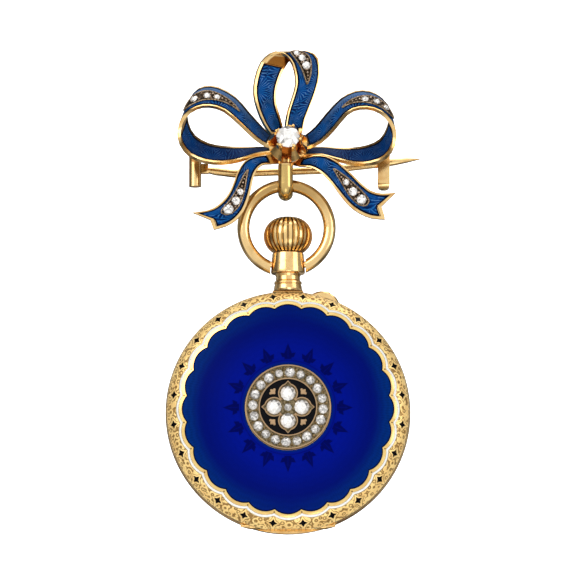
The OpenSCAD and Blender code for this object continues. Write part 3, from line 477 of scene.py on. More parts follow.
@dataclass(frozen=True)
class ChasedGold:
    """The cover's gold: plain next to the enamel, chased with scrolls out to the rim, with painted shade
    in the cuts, on the star outlines and in the dots.
    """

    name: str = "chased_gold"
    bright: Colour = (0.96, 0.69, 0.27)
    deep: Colour = (0.86, 0.55, 0.19)
    # painted shade in the chased cuts, on the star outlines and in the dots
    recess_shade: Colour = (0.24, 0.12, 0.025)
    edge: Pair = (0.70, 0.78)  # the chasing begins this far from the scallops
    rim_r: Pair = (15.02, 15.12)  # and ends at this radius
    scrolls: float = 1.35  # scrolls for each millimetre
    dot_at: float = 13.02  # radius of the ring of dots
    dot_r: Pair = (0.07, 0.13)  # a dot's radius, to its soft edge
    star_at: float = 14.35  # radius of the ring of stars
    star_r: Pair = (0.86, 0.99)  # the line drawn round a star

    def build(self) -> Material:
        """Makes the material.

        Returns:
            The material.
        """
        g = Coat(self.name)
        p = Polar(g)
        d = p.scallop()
        zone = d.rise(*self.edge) * (1 - p.r.rise(*self.rim_r))
        wavy = g.noise(p.vector, 1.6, 1) * 2.4
        shape = {"Vector": p.vector, "Scale": self.scrolls, "Randomness": 0.8}
        reach = g.value("ShaderNodeTexVoronoi", None, shape)
        curls = (reach * 13 + wavy).sin() * 0.5 + 0.5
        grain = g.noise(p.vector, 6.0, 2)
        cusp = p.folded(LOBES, LOBES)
        over, outwards = p.r * cusp.sin(), p.r * cusp.cos()
        along = outwards - self.dot_at
        dot = 1 - (over * over + along * along).root().rise(*self.dot_r)
        u, v = over.size(), (outwards - self.star_at).size()
        star = u + v + u.at_most(v) * 0.72
        line = star.within(*self.star_r, 0.04)
        plain = 1 - star.rise(0.8, 0.88)
        height = ((curls * 0.75 + grain * 0.25) * zone + (1 - zone)).at_least(plain)
        # where the painted shade falls: low in the scrolls and on the star outlines
        cut = ((1 - height.rise(0.24, 0.5)) * zone).at_least(line * zone)
        tint = g.mix(g.noise(p.vector, 0.8, 2).rise(0.3, 0.8), self.bright, self.deep)
        return g.finish({
            "Base Color": g.mix((cut * 0.92).at_least(dot), tint, self.recess_shade),
            "Metallic": 1 - zone * 0.5,
            "Roughness": zone * 0.1 + 0.22,
            "Normal": g.relief(height, 0.035),
        })


@dataclass(frozen=True)
class FieldEnamel:
    """Royal blue enamel over engine turning, with a ring of dark leaves round the rosette and painted
    shade along the scalloped edge.
    """

    name: str = "field_enamel"
    royal: Colour = (0.0, 0.004, 0.165)
    night: Colour = (0.0, 0.003, 0.10)
    teal: Colour = (0.0, 0.0145, 0.108)
    shadow: Colour = (0.0, 0.0008, 0.045)
    # outline: painted shade along the scalloped edge, next to the gold
    outline: Colour = (0.0, 0.001, 0.006)
    leaves: int = 16
    leaf_r: Pair = (6.06, 8.2)  # inner and outer end of a leaf
    leaf_lobe: Pair = (0.52, 6.56)  # a side lobe, across and outwards
    leaf_tip: float = 8.1
    vein_r: Pair = (6.2, 7.4)
    halo_r: Pair = (5.2, 5.62)  # the paler ring next to the rosette
    ring_r: Pair = (5.84, 5.96)  # the dark line between it and the leaves
    night_r: Pair = (7.4, 12.0)  # the blue deepens over these radii
    teal_r: Pair = (11.0, 13.0)  # and turns to teal over these

    def leaf(self, g: Graph, p: Polar) -> Value:
        """1 on the ivy-shaped leaves.

        Args:
            g: The graph; not used.
            p: The polar values.

        Returns:
            The mask.
        """
        a = p.folded(self.leaves, self.leaves + 0.5)
        across = (p.r * a.sin()).size()
        along = p.r * a.cos()
        aside, above = across - self.leaf_lobe[0], along - self.leaf_lobe[1]
        outwards = (aside * 0.8 + above * 0.6).size()
        sideways = (above * 0.8 - aside * 0.6).size()
        lobe = (0.43 - outwards * 0.78 - sideways * 1.35) * 0.8
        spear = ((self.leaf_tip - along) * 0.38).at_most(0.44) - across
        shape = lobe.at_least(spear).rise(-0.05, 0.05) * along.within(*self.leaf_r, 0.06)
        vein = (1 - across.rise(0.02, 0.09)) * along.within(*self.vein_r, 0.15)
        return shape * (1 - vein * 0.3)

    def build(self) -> Material:
        """Makes the material.

        Returns:
            The material.
        """
        g = Coat(self.name)
        p = Polar(g)
        turning = (p.turn * (FULL * 240)).sin() * 0.5 + 0.5
        waves = (p.r * 9 + (p.turn * (FULL * 48)).sin() * 0.9).sin() * 0.5 + 0.5
        lines = turning * 0.5 + waves * 0.5
        cloud = g.noise(p.vector, 0.16, 2) * 1.6
        band = (p.r + cloud).rise(*self.night_r)
        blue = g.mix(band, self.royal, self.night)
        aside = (p.x.size() / p.r.at_least(1.0)) * 0.75 + 0.25
        rim = (p.r + cloud * 0.5).rise(*self.teal_r) * aside
        blue = g.mix(rim, blue, self.teal)
        halo = p.r.within(*self.halo_r, 0.12)
        blue = g.mix(halo * 0.7, blue, self.teal)
        ring = p.r.within(*self.ring_r, 0.06)
        dark = self.leaf(g, p).at_least(ring * 0.6)
        blue = g.mix(dark * 0.85, blue, self.shadow)
        # painted shade along the edge next to the gold
        edge = p.scallop().rise(-0.2, -0.1)
        blue = g.mix(edge * 0.95, blue, self.outline)
        strength = lines * (rim * 0.3 + 0.1) + (0.90 - rim * 0.12)
        return g.finish({
            "Base Color": g.vector("SCALE", {0: blue, "Scale": strength}),
            "Roughness": 0.3,
            "Specular IOR Level": 0.015,
        })


@dataclass(frozen=True)
class RibbonEnamel:
    """Blue enamel over hand engraving, whose cuts spread in small stars; painted shade darkens its edge
    and the part near the knot, and a painted reflection makes it pale high on the loops.
    """

    name: str = "ribbon_enamel"
    blue: Colour = (0.0008, 0.030, 0.145)
    deep: Colour = (0.0004, 0.008, 0.050)
    bright: Colour = (0.010, 0.105, 0.30)
    # silver: the engraving's pale lines, and the painted reflection high on the loops
    silver: Colour = (0.14, 0.22, 0.34)
    # outline: painted shade along the edge, next to the gold
    outline: Colour = (0.001, 0.002, 0.008)
    star_scale: float = 0.42  # engraved stars for each millimetre
    knot_y: Pair = (-5.0, -4.88)  # shaded behind these depths
    knot_z: Pair = (2.6, 4.8)  # and below these heights
    reflection_y: Pair = (-4.1, -3.0)  # painted pale reflection on the loops' backs, from front to rear
    reflection_z: Pair = (5.0, 9.0)  # and above these heights
    edge_shade_w: Pair = (0.15, 0.27)  # the width of the painted shade along the edge

    def build(self) -> Material:
        """Makes the material.

        Returns:
            The material.
        """
        g = Coat(self.name)
        run = g.node("ShaderNodeAttribute", {"attribute_name": RUN}).outputs["Vector"]
        along, across, edge = g.split(run)
        flat = g.point(along, across, 0.0)
        shape = {"Vector": flat, "Scale": self.star_scale, "Randomness": 0.9}
        star = g.node("ShaderNodeTexVoronoi", None, shape).outputs["Position"]
        dx, dy, _ = g.split(g.vector("SUBTRACT", {0: flat, 1: star}))
        wander = g.noise(flat, 1.6, 2) * 4.0
        rays = (dx.angle_to(dy) * 24 + wander).sin() * 0.5 + 0.5
        fine = g.noise(flat, 6.0, 3)
        cuts = rays * 0.7 + fine * 0.3
        cloud = g.noise(flat, 0.6, 2)
        _, _, y, z = g.place()
        shaded = (1 - z.rise(*self.knot_z)) * y.rise(*self.knot_y)
        base = g.mix(cloud.rise(0.38, 0.62) * (1 - shaded * 0.7), self.deep, self.blue)
        lit = g.mix(cuts.rise(0.45, 0.9) * (0.75 - shaded * 0.5), base, self.bright)
        patch = g.noise(flat, 0.9, 1).rise(0.42, 0.66)
        lit = g.mix(cuts.rise(0.70, 0.90) * patch * (0.62 - shaded * 0.4), lit, self.silver)
        # painted reflection, pale, high on the loops' backs
        pale = y.rise(*self.reflection_y) * z.rise(*self.reflection_z)
        lit = g.mix(pale * (fine * 0.6 + 0.15), lit, self.silver)
        return g.finish({
            "Base Color": g.mix(edge.rise(*self.edge_shade_w), self.outline, lit),
            "Metallic": 0.1,
            "Roughness": 0.3,
            "Specular IOR Level": 0.02,
            "Normal": g.relief(cuts, 0.012),
        })


@dataclass(frozen=True)
class PlainEnamel:
    """Opaque enamel, slightly uneven."""

    name: str
    colour: Colour
    roughness: float = 0.16
    shine: float = 0.5

    def build(self) -> Material:
        """Makes the material.

        Returns:
            The material.
        """
        g = Coat(self.name)
        vector, *_ = g.place()
        cloud = g.noise(vector, 2.5, 3)
        dull = tuple(c * 0.86 for c in self.colour)
        return g.finish({
            "Base Color": g.mix(cloud.rise(0.4, 0.8), self.colour, dull),
            "Roughness": cloud * 0.1 + self.roughness,
            "Specular IOR Level": self.shine,
            "Coat Weight": self.shine * 0.5,
            "Coat Roughness": 0.05,
            "Normal": g.relief(cloud, 0.01),
        })


@dataclass(frozen=True)
class AgedMetal:
    """Worked metal with dark left in its hollows."""

    name: str
    bright: Colour
    dark: Colour
    roughness: float = 0.34
    grain: float = 5.0

    def build(self) -> Material:
        """Makes the material.

        Returns:
            The material.
        """
        g = Coat(self.name)
        vector, *_ = g.place()
        cloud = g.noise(vector, self.grain, 4)
        worn = cloud.rise(0.38, 0.66)
        return g.finish({
            "Base Color": g.mix(worn, self.dark, self.bright),
            "Metallic": 1.0,
            "Roughness": (1 - worn) * 0.25 + self.roughness,
            "Normal": g.relief(cloud, 0.03),
        })


@dataclass(frozen=True)
class DiamondFinish:
    """Cut diamond: each facet takes its own brightness, as if lit from below by its bed."""

    name: str = "diamond"
    light: Colour = (0.84, 0.82, 0.79)
    shade: Colour = (0.20, 0.19, 0.18)

    def build(self) -> Material:
        """Makes the material.

        Returns:
            The material.
        """
        g = Coat(self.name)
        vector, *_ = g.place()
        facing = g.node("ShaderNodeTexCoord").outputs["Normal"]
        spun = g.vector("SCALE", {0: facing, "Scale": 7.3})
        snapped = g.vector("SNAP", {0: spun, 1: (1.0, 1.0, 1.0)})
        flash = g.value("ShaderNodeTexWhiteNoise", None, {"Vector": snapped})
        veil = g.noise(vector, 3.5, 3)
        bright = (flash * 0.7 + veil * 0.4).rise(0.15, 0.65)
        return g.finish({
            "Base Color": g.mix(bright, self.shade, self.light),
            "Metallic": 0.35,
            "Roughness": 0.06,
            "IOR": 2.3,
            "Coat Weight": 0.3,
            "Coat Roughness": 0.02,
        })


@dataclass(frozen=True)
class CrystalGlass:
    """Clear watch glass."""

    name: str = "watch_glass"

    def build(self) -> Material:
        """Makes the material.

        Returns:
            The material.
        """
        g = Coat(self.name)
        vector, *_ = g.place()
        smear = g.noise(vector, 0.5, 2)
        g.material.blend_method = "BLEND"
        return g.finish({
            "Base Color": (0.05, 0.055, 0.055),
            "Roughness": smear * 0.03 + 0.01,
            "IOR": 1.5,
            "Alpha": 0.12,
            "Specular IOR Level": 0.6,
        })


@dataclass(frozen=True)
class FlutedGold:
    """The crown's gold, dark with painted shade down in its flutes."""

    name: str = "fluted_gold"
    bright: Colour = (0.95, 0.66, 0.28)
    # painted shade down in the flutes
    dark: Colour = (0.16, 0.07, 0.015)
    flutes: int = 28

    def build(self) -> Material:
        """Makes the material.

        Returns:
            The material.
        """
        g = Coat(self.name)
        vector, x, y, _ = g.place()
        turn = (y - WATCH_Y).angle_to(x) / FULL
        flute_shade = ((turn * self.flutes + self.flutes).fract() - 0.5).size().rise(0.22, 0.4)
        marks = g.noise(vector, 8.0, 3)
        return g.finish({
            "Base Color": g.mix(flute_shade * 0.9, self.bright, self.dark),
            "Metallic": 1.0,
            "Roughness": marks * 0.12 + 0.15,
        })


@dataclass(frozen=True)
class RosetteGold:
    """The rosette's gold: an olive, grained bed and pale raised lines."""

    name: str = "rosette_gold"
    bed: Colour = (0.26, 0.20, 0.11)
    hollow: Colour = (0.08, 0.06, 0.03)
    line: Colour = (0.52, 0.34, 0.19)
    raised: Pair = (4.66, 4.78)  # height over the watch's middle plane where the lines begin

    def build(self) -> Material:
        """Makes the material.

        Returns:
            The material.
        """
        g = Coat(self.name)
        vector, _, y, _ = g.place()
        grain = g.noise(vector, 4.0, 2)
        raised = (WATCH_Y - y).rise(*self.raised)
        low = g.mix(grain.rise(0.35, 0.6), self.hollow, self.bed)
        return g.finish({
            "Base Color": g.mix(raised, low, self.line),
            "Metallic": 1.0,
            "Roughness": grain * 0.2 + 0.22,
            "Normal": g.relief(grain, 0.02),
        })


# Mesh


class Maker:
    """Gathers the faces of one piece, in millimetres, and turns them into an object."""

    def __init__(self) -> None:
        """Starts an empty mesh."""
        self.mesh = bmesh.new()

    def ball(self, centre: Vector, radius: float) -> None:
        """Adds a ball."""
        at = Matrix.Translation(centre)
        bmesh.ops.create_icosphere(self.mesh, subdivisions=2, radius=radius, matrix=at)

    def hoop(self, points: list[Vector], radius: float, sides: int = 6) -> None:
        """Adds a round wire through points that joins its own start.

        Args:
            points: The wire's middle line.
            radius: The wire's radius.
            sides: Faces round it.
        """
        rings = []
        side = Vector((0, 1, 0))
        for i, p in enumerate(points):
            run = (points[(i + 1) % len(points)] - points[i - 1]).normalized()
            side = (side - run * side.dot(run)).normalized()
            up = run.cross(side)
            turns = [FULL * k / sides for k in range(sides)]
            spokes = [side * math.cos(a) + up * math.sin(a) for a in turns]
            rings.append([self.mesh.verts.new(p + s * radius) for s in spokes])
        for a, b in zip(rings, rings[1:] + rings[:1]):
            for k in range(sides):
                n = (k + 1) % sides
                self.mesh.faces.new((a[k], a[n], b[n], b[k]))

    def facets(self, corners: list[Vector], faces: list[tuple[int, ...]]) -> None:
        """Adds plain faces over a list of corners.

        Args:
            corners: The corners.
            faces: Each face's corners, by their place in the list.
        """
        made = [self.mesh.verts.new(c) for c in corners]
        for f in faces:
            self.mesh.faces.new([made[i] for i in f])

    def thing(self, name: str, material: Material, smooth: bool) -> Thing:
        """Turns the mesh into an object of the scene.

        Args:
            name: The object's name.
            material: Its finish.
            smooth: True for round surfaces, False for facets.

        Returns:
            The object.
        """
        self.mesh.transform(Matrix.Scale(MM, 4))
        data = bpy.data.meshes.new(name)
        self.mesh.to_mesh(data)
        self.mesh.free()
        for p in data.polygons:
            p.use_smooth = smooth
        data.materials.append(material)
        made = bpy.data.objects.new(name, data)
        bpy.context.scene.collection.objects.link(made)
        return made

    def piece(
        self, name: str, body: Body, material: Material, smooth: bool = True
    ) -> Thing:
        """Turns the mesh into a piece of the part and lets it ride.

        Args:
            name: The piece's name.
            body: What it moves with.
            material: Its finish.
            smooth: True for round surfaces, False for facets.

        Returns:
            The object.
        """
        bmesh.ops.recalc_face_normals(self.mesh, faces=self.mesh.faces)
        made = self.thing(name, material, smooth)
        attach(made, body.value)
        LOG.info("%s: %d faces", name, len(made.data.polygons))
        return made


def on_case(x: float, y: float, z: float) -> Vector:
    """A point of the case's own frame (z out of the back cover, y up) in the row frame."""
    return Vector((x, WATCH_Y - z, CASE_Z + y))


def circle(count: int, radius: float, z: float, shift: float = 0.0) -> list[Vector]:
    """Points evenly round the Z axis.

    Args:
        count: How many.
        radius: Their distance from the axis.
        z: Their height.
        shift: Turn, as a share of one step.

    Returns:
        The points.
    """
    turns = [FULL * (i + shift) / count for i in range(count)]
    return [Vector((radius * math.cos(a), radius * math.sin(a), z)) for a in turns]


# Ribbon


@dataclass
class Ribbon:
    """A ribbon of the bow, as rows of its front and back edge (x, z, y each)."""

    name: str
    side: int  # 1 or -1: which side of the rows' surface is the enamelled face
    rows: list[Row]
    notch: float = 0.0  # depth of the cut in a tail's end, in rows

    def fork(self, w: float) -> float:
        """How far the forked end stands back at w across it."""
        return self.notch * (1 - abs(2 * w - 1))

    def edges(self, u: float) -> list[float]:
        """Both edges at a place along the ribbon, on a smooth curve through the rows.

        Args:
            u: The place, counted in rows.

        Returns:
            A row's six numbers at that place.
        """
        last = len(self.rows) - 1
        i = max(0, min(int(math.floor(u)), last - 1))
        f = u - i
        a, b = self.rows[max(i - 1, 0)], self.rows[i]
        c, d = self.rows[i + 1], self.rows[min(i + 2, last)]
        return [
            q + (r - p + (2 * p - 5 * q + 4 * r - s + (3 * q - p - 3 * r + s) * f) * f) * f / 2
            for p, q, r, s in zip(a, b, c, d)
        ]

    def middle(self, s: float, w: float) -> Vector:
        """A point in the ribbon's middle surface."""
        e = self.edges(s)
        return Vector((e[0], e[2], e[1])) * (1 - w) + Vector((e[3], e[5], e[4])) * w

    def outward(self, s: float, w: float) -> Vector:
        """The direction that the enamelled face looks in.

        Args:
            s: Place along the ribbon, in rows.
            w: Place across it, from 0 to 1.

        Returns:
            A unit vector.
        """
        last, step = len(self.rows) - 1, 0.08
        run = self.middle(min(last, s + step), w) - self.middle(max(0, s - step), w)
        across = self.middle(s, 1) - self.middle(s, 0)
        return run.cross(across).normalized() * self.side

    def lifted(self, s: float, w: float, h: float) -> Vector:
        """A point h above the middle surface."""
        return self.middle(s, w) + self.outward(s, w) * h


@dataclass
class StonePanel:
    """A leaf-shaped plate on a ribbon with its stones, grains and drawn wire."""

    ribbon: Ribbon
    ends: Pair  # round end and point, along the ribbon in rows
    mids: Pair  # their places across it, from 0 to 1
    half: float  # half the leaf's width, as a share of the ribbon's
    stones: list[Point]  # place along, place across and radius of each
    base: float = 0.345  # height of the plate over the ribbon's middle surface
    wire_r: float = 0.1
    wire_steps: int = 22
    bead_r: float = 0.085  # the grains that hold a stone
    grain_r: float = 0.14  # the grains between two stones
    point_grains: tuple[float, ...] = (0.15, 0.13, 0.11, 0.085, 0.07)

    def middle(self, f: float) -> Pair:
        """Place along and across the ribbon at a share of the panel's length."""
        (s0, s1), (m0, m1) = self.ends, self.mids
        return s0 + (s1 - s0) * f, m0 + (m1 - m0) * f

    def reach(self, f: float) -> float:
        """The panel's half width at a share of its length."""
        return self.half * max(0.04, math.sin(math.pi * f**0.55) ** 0.7)

    def share(self, s: float) -> float:
        """The share of the panel's length at a place along the ribbon."""
        return (s - self.ends[0]) / (self.ends[1] - self.ends[0])

    def wire(self, make: Maker) -> None:
        """Draws the thin wire round the leaf.

        Args:
            make: The mesh it goes into.
        """
        turns = [math.pi * i / self.wire_steps for i in range(self.wire_steps + 1)]
        steps = [0.5 - 0.497 * math.cos(a) for a in turns]
        line = []
        for sign, order in ((-1, steps), (1, steps[-2:0:-1])):
            for f in order:
                s, m = self.middle(f)
                line.append(self.ribbon.lifted(s, m + sign * self.reach(f), self.base + 0.01))
        make.hoop(line, self.wire_r)

    def grains(self, make: Maker) -> None:
        """Sets grains between the stones, round each one, and out to the point.

        Args:
            make: The mesh they go into.
        """
        order = sorted(self.stones, key=lambda t: self.share(t[0]))
        for s, w, r in order:
            up = self.ribbon.outward(s, w)
            at = self.ribbon.lifted(s, w, self.base + 0.1)
            run = (self.ribbon.middle(s + 0.05, w) - self.ribbon.middle(s, w)).normalized()
            across = run.cross(up)
            for p in circle(6, r + 0.03, 0.0, 0.5):
                make.ball(at + run * p.x + across * p.y, self.bead_r)
        for (s0, w0, _), (s1, w1, _) in zip(order, order[1:]):
            s, w = (s0 + s1) / 2, (w0 + w1) / 2
            room = self.reach(self.share(s))
            for sign in (-1, 1):
                at = self.ribbon.lifted(s, w + sign * room * 0.55, self.base + 0.06)
                make.ball(at, self.grain_r)
        last = self.share(order[-1][0])
        for k, size in enumerate(self.point_grains):
            f = last + (0.97 - last) * (0.24 + 0.17 * k)
            s, m = self.middle(f)
            make.ball(self.ribbon.lifted(s, m, self.base + 0.05), size)

    def dress(self, wire_gold: Material, silver: Material) -> None:
        """Makes the panel's two pieces.

        Args:
            wire_gold: Finish of the wire.
            silver: Finish of the grains.
        """
        make = Maker()
        self.wire(make)
        make.piece(f"{self.ribbon.name}_panel_wire", Body.BROOCH, wire_gold)
        make = Maker()
        self.grains(make)
        make.piece(f"{self.ribbon.name}_grains", Body.BROOCH, silver)


# Rows of the ribbons as seen from the front: x and z of the front (or outer) edge, then of the
# back (or inner) edge
LEFT_LOOP: list[Plan] = [
    (-1.40, 2.20, -1.13, 3.50),
    (-2.63, 2.42, -2.00, 3.88),
    (-4.13, 3.38, -3.25, 5.06),
    (-6.00, 5.16, -5.00, 7.03),
    (-8.00, 6.87, -6.63, 8.94),
    (-9.88, 7.44, -8.75, 10.21),
    (-11.50, 7.19, -10.50, 10.35),
    (-13.00, 6.11, -11.75, 9.48),
    (-13.65, 4.40, -12.75, 7.54),
    (-13.44, 2.62, -12.63, 5.63),
    (-12.25, 1.10, -11.75, 4.05),
    (-10.38, 0.34, -10.00, 3.03),
    (-8.25, 0.15, -8.00, 2.65),
    (-6.00, 0.53, -5.88, 2.55),
    (-4.13, 1.23, -4.00, 2.53),
    (-2.75, 1.55, -2.50, 2.50),
    (-1.25, 1.50, -1.13, 2.35),
]
RIGHT_LOOP: list[Plan] = [
    (1.40, 2.10, 1.20, 3.50),
    (2.50, 2.20, 2.13, 3.98),
    (4.13, 2.94, 3.50, 5.12),
    (5.75, 4.52, 4.88, 6.83),
    (7.38, 6.49, 6.69, 8.74),
    (9.00, 7.19, 8.50, 9.71),
    (10.75, 7.06, 10.25, 9.69),
    (12.25, 6.17, 11.75, 8.80),
    (13.25, 4.65, 12.88, 7.03),
    (13.29, 2.62, 12.56, 5.12),
    (12.25, 0.91, 11.63, 3.60),
    (10.38, 0.11, 10.00, 2.78),
    (8.38, 0.05, 8.13, 2.46),
    (6.13, 0.59, 6.25, 2.42),
    (4.25, 1.10, 4.38, 2.55),
    (2.50, 1.12, 2.75, 2.50),
    (1.25, 1.10, 1.30, 2.30),
]
TOP_LOOP: list[Plan] = [
    (-0.88, 2.39, -0.25, 2.98),
    (-2.00, 3.66, -0.63, 4.50),
    (-3.05, 5.18, -1.06, 6.28),
    (-3.88, 7.13, -1.54, 8.05),
    (-4.32, 9.10, -1.50, 9.71),
    (-4.16, 11.01, -1.13, 11.10),
    (-3.48, 13.04, -0.50, 12.62),
    (-2.25, 14.20, 0.38, 13.92),
    (-0.88, 14.26, 1.50, 14.62),
    (0.19, 13.47, 2.75, 14.60),
    (0.75, 12.15, 3.69, 13.88),
    (0.96, 10.37, 3.91, 11.99),
    (0.56, 8.73, 3.50, 9.96),
    (0.00, 6.95, 2.75, 7.93),
    (-0.31, 5.30, 2.06, 6.16),
    (-0.38, 3.78, 1.69, 4.38),
    (-0.25, 2.39, 1.00, 2.98),
]
LEFT_TAIL: list[Plan] = [
    (-1.00, 1.49, -0.88, 0.22),
    (-2.75, 1.21, -2.25, 0.07),
    (-4.25, 0.92, -3.25, -0.09),
    (-5.50, 0.25, -4.00, -0.96),
    (-6.31, -1.07, -4.38, -2.08),
    (-6.81, -2.49, -4.63, -3.38),
    (-7.38, -3.78, -5.00, -4.80),
    (-8.19, -4.87, -5.56, -6.14),
    (-9.38, -5.76, -6.50, -7.28),
    (-10.63, -6.14, -7.75, -8.04),
    (-11.88, -6.33, -9.25, -8.49),
]
RIGHT_TAIL: list[Plan] = [
    (0.50, 1.49, 0.38, 0.10),
    (2.00, 0.82, 1.50, -0.22),
    (3.25, 1.12, 2.88, -0.39),
    (4.75, 1.00, 4.13, -1.15),
    (6.13, 0.31, 5.13, -2.21),
    (7.25, -0.66, 5.94, -3.31),
    (8.31, -1.69, 6.75, -4.42),
    (9.25, -2.66, 7.69, -5.51),
    (10.38, -3.54, 8.88, -6.39),
    (11.75, -3.89, 10.38, -7.03),
    (13.45, -3.80, 12.10, -7.20),
]


# Depths of the same rows: y of the front edge, then of the back edge
SIDE_DEPTHS: list[Pair] = [(-4.6, -2.9), (-4.8, -2.8)]
SIDE_DEPTHS += [(-4.8, -2.7)] * 13
SIDE_DEPTHS += [(-4.6, -2.8), (-4.4, -2.9)]
TOP_DEPTHS: list[Pair] = [(y, -3.4) for y in (-4.4, -4.6, *[-4.7] * 12, -4.6, -4.4, -4.2)]
TAIL_FALL = (-4.85, -5.1, -5.4, -5.6, -5.8, -5.9, -6.0, -6.0, -6.0, -6.1)
LEFT_DEPTHS: list[Pair] = [(y, y) for y in (-4.5, *TAIL_FALL)]
RIGHT_DEPTHS: list[Pair] = [(y, y) for y in (-4.45, *TAIL_FALL)]
FORK = 0.66  # how far back the middle of a tail's end is cut, in rows


@dataclass(frozen=True)
class Stretch:
    """One length of enamel on a ribbon, from start to end along it in rows."""

    start: float
    end: float
    face: int  # 1 on the outer face, -1 on the inner
    first_rim: float  # bare metal next to the first edge, as a share of the width
    second_rim: float


@dataclass
class EnamelSheet:
    """The enamel of one ribbon, which keeps the distances along it, across it and to its edge."""

    ribbon: Ribbon
    stretches: tuple[Stretch, ...]
    top: float = 0.22  # height of the enamel's face over the ribbon's middle surface
    low: float = 0.12  # height of its underside
    steps_per_row: int = 6
    columns: int = 8

    def grid(self, make: Maker, stretch: Stretch, height: float, buried: bool) -> Sheet:
        """Adds the corners of one face of a stretch.

        Args:
            make: The mesh they go into.
            stretch: The stretch.
            height: Height above the ribbon's middle surface.
            buried: True for the underside, whose distance to the edge counts as nothing.

        Returns:
            The corners, row by row along the ribbon.
        """
        mesh = make.mesh.verts
        layer = mesh.layers.float_vector.get(RUN) or mesh.layers.float_vector.new(RUN)
        count = math.ceil((stretch.end - stretch.start) * self.steps_per_row)
        left, right = stretch.first_rim, 1 - stretch.second_rim
        lines, gone = [], 0.0
        before = None
        for i in range(count + 1):
            s = stretch.start + (stretch.end - stretch.start) * i / count
            mid = self.ribbon.middle(s, 0.5)
            gone += (mid - before).length if before else 0.0
            before = mid
            line = []
            for k in range(self.columns + 1):
                w = left + (right - left) * k / self.columns
                at = s - self.ribbon.fork(w) * s / (len(self.ribbon.rows) - 1)
                corner = mesh.new(self.ribbon.lifted(at, w, height * stretch.face))
                wide = (self.ribbon.middle(at, 1) - self.ribbon.middle(at, 0)).length
                side = min(w - left, right - w) * wide
                corner[layer] = (gone, (w - 0.5) * wide, 0.0 if buried else side)
                line.append(corner)
            lines.append(line)
        self.close_ends(lines, layer)
        return lines

    def close_ends(self, lines: Sheet, layer: bmesh.types.BMLayerItem) -> None:
        """Lets the distance to the edge fall to nothing at both ends as well.

        Args:
            lines: The corners, row by row.
            layer: The layer that keeps the distances.
        """
        length = lines[-1][0][layer].x
        for line in lines:
            for corner in line:
                x, y, edge = corner[layer]
                corner[layer] = (x, y, min(edge, x, length - x))

    def dress(self, finish: Material) -> None:
        """Makes the enamel in place of the source's coarser one.

        Args:
            finish: The enamel's finish.
        """
        make = Maker()
        for stretch in self.stretches:
            high = self.grid(make, stretch, self.top, False)
            low = self.grid(make, stretch, self.low, True)
            for sheet in (high, low):
                for a, b in zip(sheet, sheet[1:]):
                    for k in range(self.columns):
                        make.mesh.faces.new((a[k], a[k + 1], b[k + 1], b[k]))
            border = [
                [line[0] for line in sheet] + sheet[-1][1:] + [line[-1] for line in sheet[-2::-1]]
                + sheet[0][-2:0:-1]
                for sheet in (high, low)
            ]
            for k in range(len(border[0])):
                n = (k + 1) % len(border[0])
                make.mesh.faces.new((border[0][k], border[0][n], border[1][n], border[1][k]))
        name = self.ribbon.name
        made = make.piece(f"{name}_sheet", Body.BROOCH, finish)
        made.modifiers.new("edges", "EDGE_SPLIT").split_angle = math.radians(50)
        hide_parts(f"{name}_enamel")


def bow_ribbons() -> dict[str, Ribbon]:
    """The five ribbons by name.

    Returns:
        The ribbons.
    """
    table = (
        ("left_loop", -1, LEFT_LOOP, SIDE_DEPTHS, 0.0),
        ("top_loop", 1, TOP_LOOP, TOP_DEPTHS, 0.0),
        ("right_loop", 1, RIGHT_LOOP, SIDE_DEPTHS, 0.0),
        ("left_tail", 1, LEFT_TAIL, LEFT_DEPTHS, FORK),
        ("right_tail", -1, RIGHT_TAIL, RIGHT_DEPTHS, FORK),
    )
    ribbons = {}
    for name, side, plan, depths, fork in table:
        rows = [(a, b, y, c, d, v) for (a, b, c, d), (y, v) in zip(plan, depths)]
        ribbons[name] = Ribbon(name, side, rows, fork)
    return ribbons


def bow_enamels(ribbons: dict[str, Ribbon]) -> list[EnamelSheet]:
    """The enamel of each ribbon: a loop's outer face first, then its inner face.

    Args:
        ribbons: The ribbons by name.

    Returns:
        The enamel sheets.
    """
    narrow, wide = 0.07, 0.115
    side = (Stretch(1.17, 8.13, 1, narrow, narrow), Stretch(8.57, 15.13, -1, wide, wide))
    top = (Stretch(8.17, 14.63, 1, narrow, narrow), Stretch(1.27, 6.03, -1, wide, wide))
    tail = (Stretch(1.07, 9.65, 1, narrow, wide),)
    plan = dict(zip(RIBBONS, (side, top, side, tail, tail)))
    return [EnamelSheet(ribbons[name], stretches) for name, stretches in plan.items()]


def bow_panels(ribbons: dict[str, Ribbon]) -> list[StonePanel]:
    """The five ribbons' panels.

    Args:
        ribbons: The ribbons by name.

    Returns:
        The panels.
    """
    table = (
        ((7.3, 3.4), (0.46, 0.48), 0.24, [(6.42, 0.46, 0.50), (5.46, 0.46, 0.47), (4.8, 0.46, 0.41)]),
        ((8.25, 11.4), (0.45, 0.47), 0.27, [(8.68, 0.45, 0.40), (9.36, 0.45, 0.47), (10.12, 0.47, 0.56)]),
        ((7.8, 3.9), (0.46, 0.40), 0.24, [(7.06, 0.44, 0.44), (6.32, 0.44, 0.48), (5.5, 0.42, 0.47)]),
        ((8.05, 3.4), (0.46, 0.51), 0.24, [(7.46, 0.46, 0.66), (6.46, 0.49, 0.56), (5.55, 0.50, 0.42)]),
        ((8.3, 4.0), (0.50, 0.41), 0.25, [(7.64, 0.50, 0.63), (6.65, 0.48, 0.56), (5.64, 0.43, 0.40)]),
    )
    return [StonePanel(ribbons[name], *row) for name, row in zip(RIBBONS, table)]


# Stones


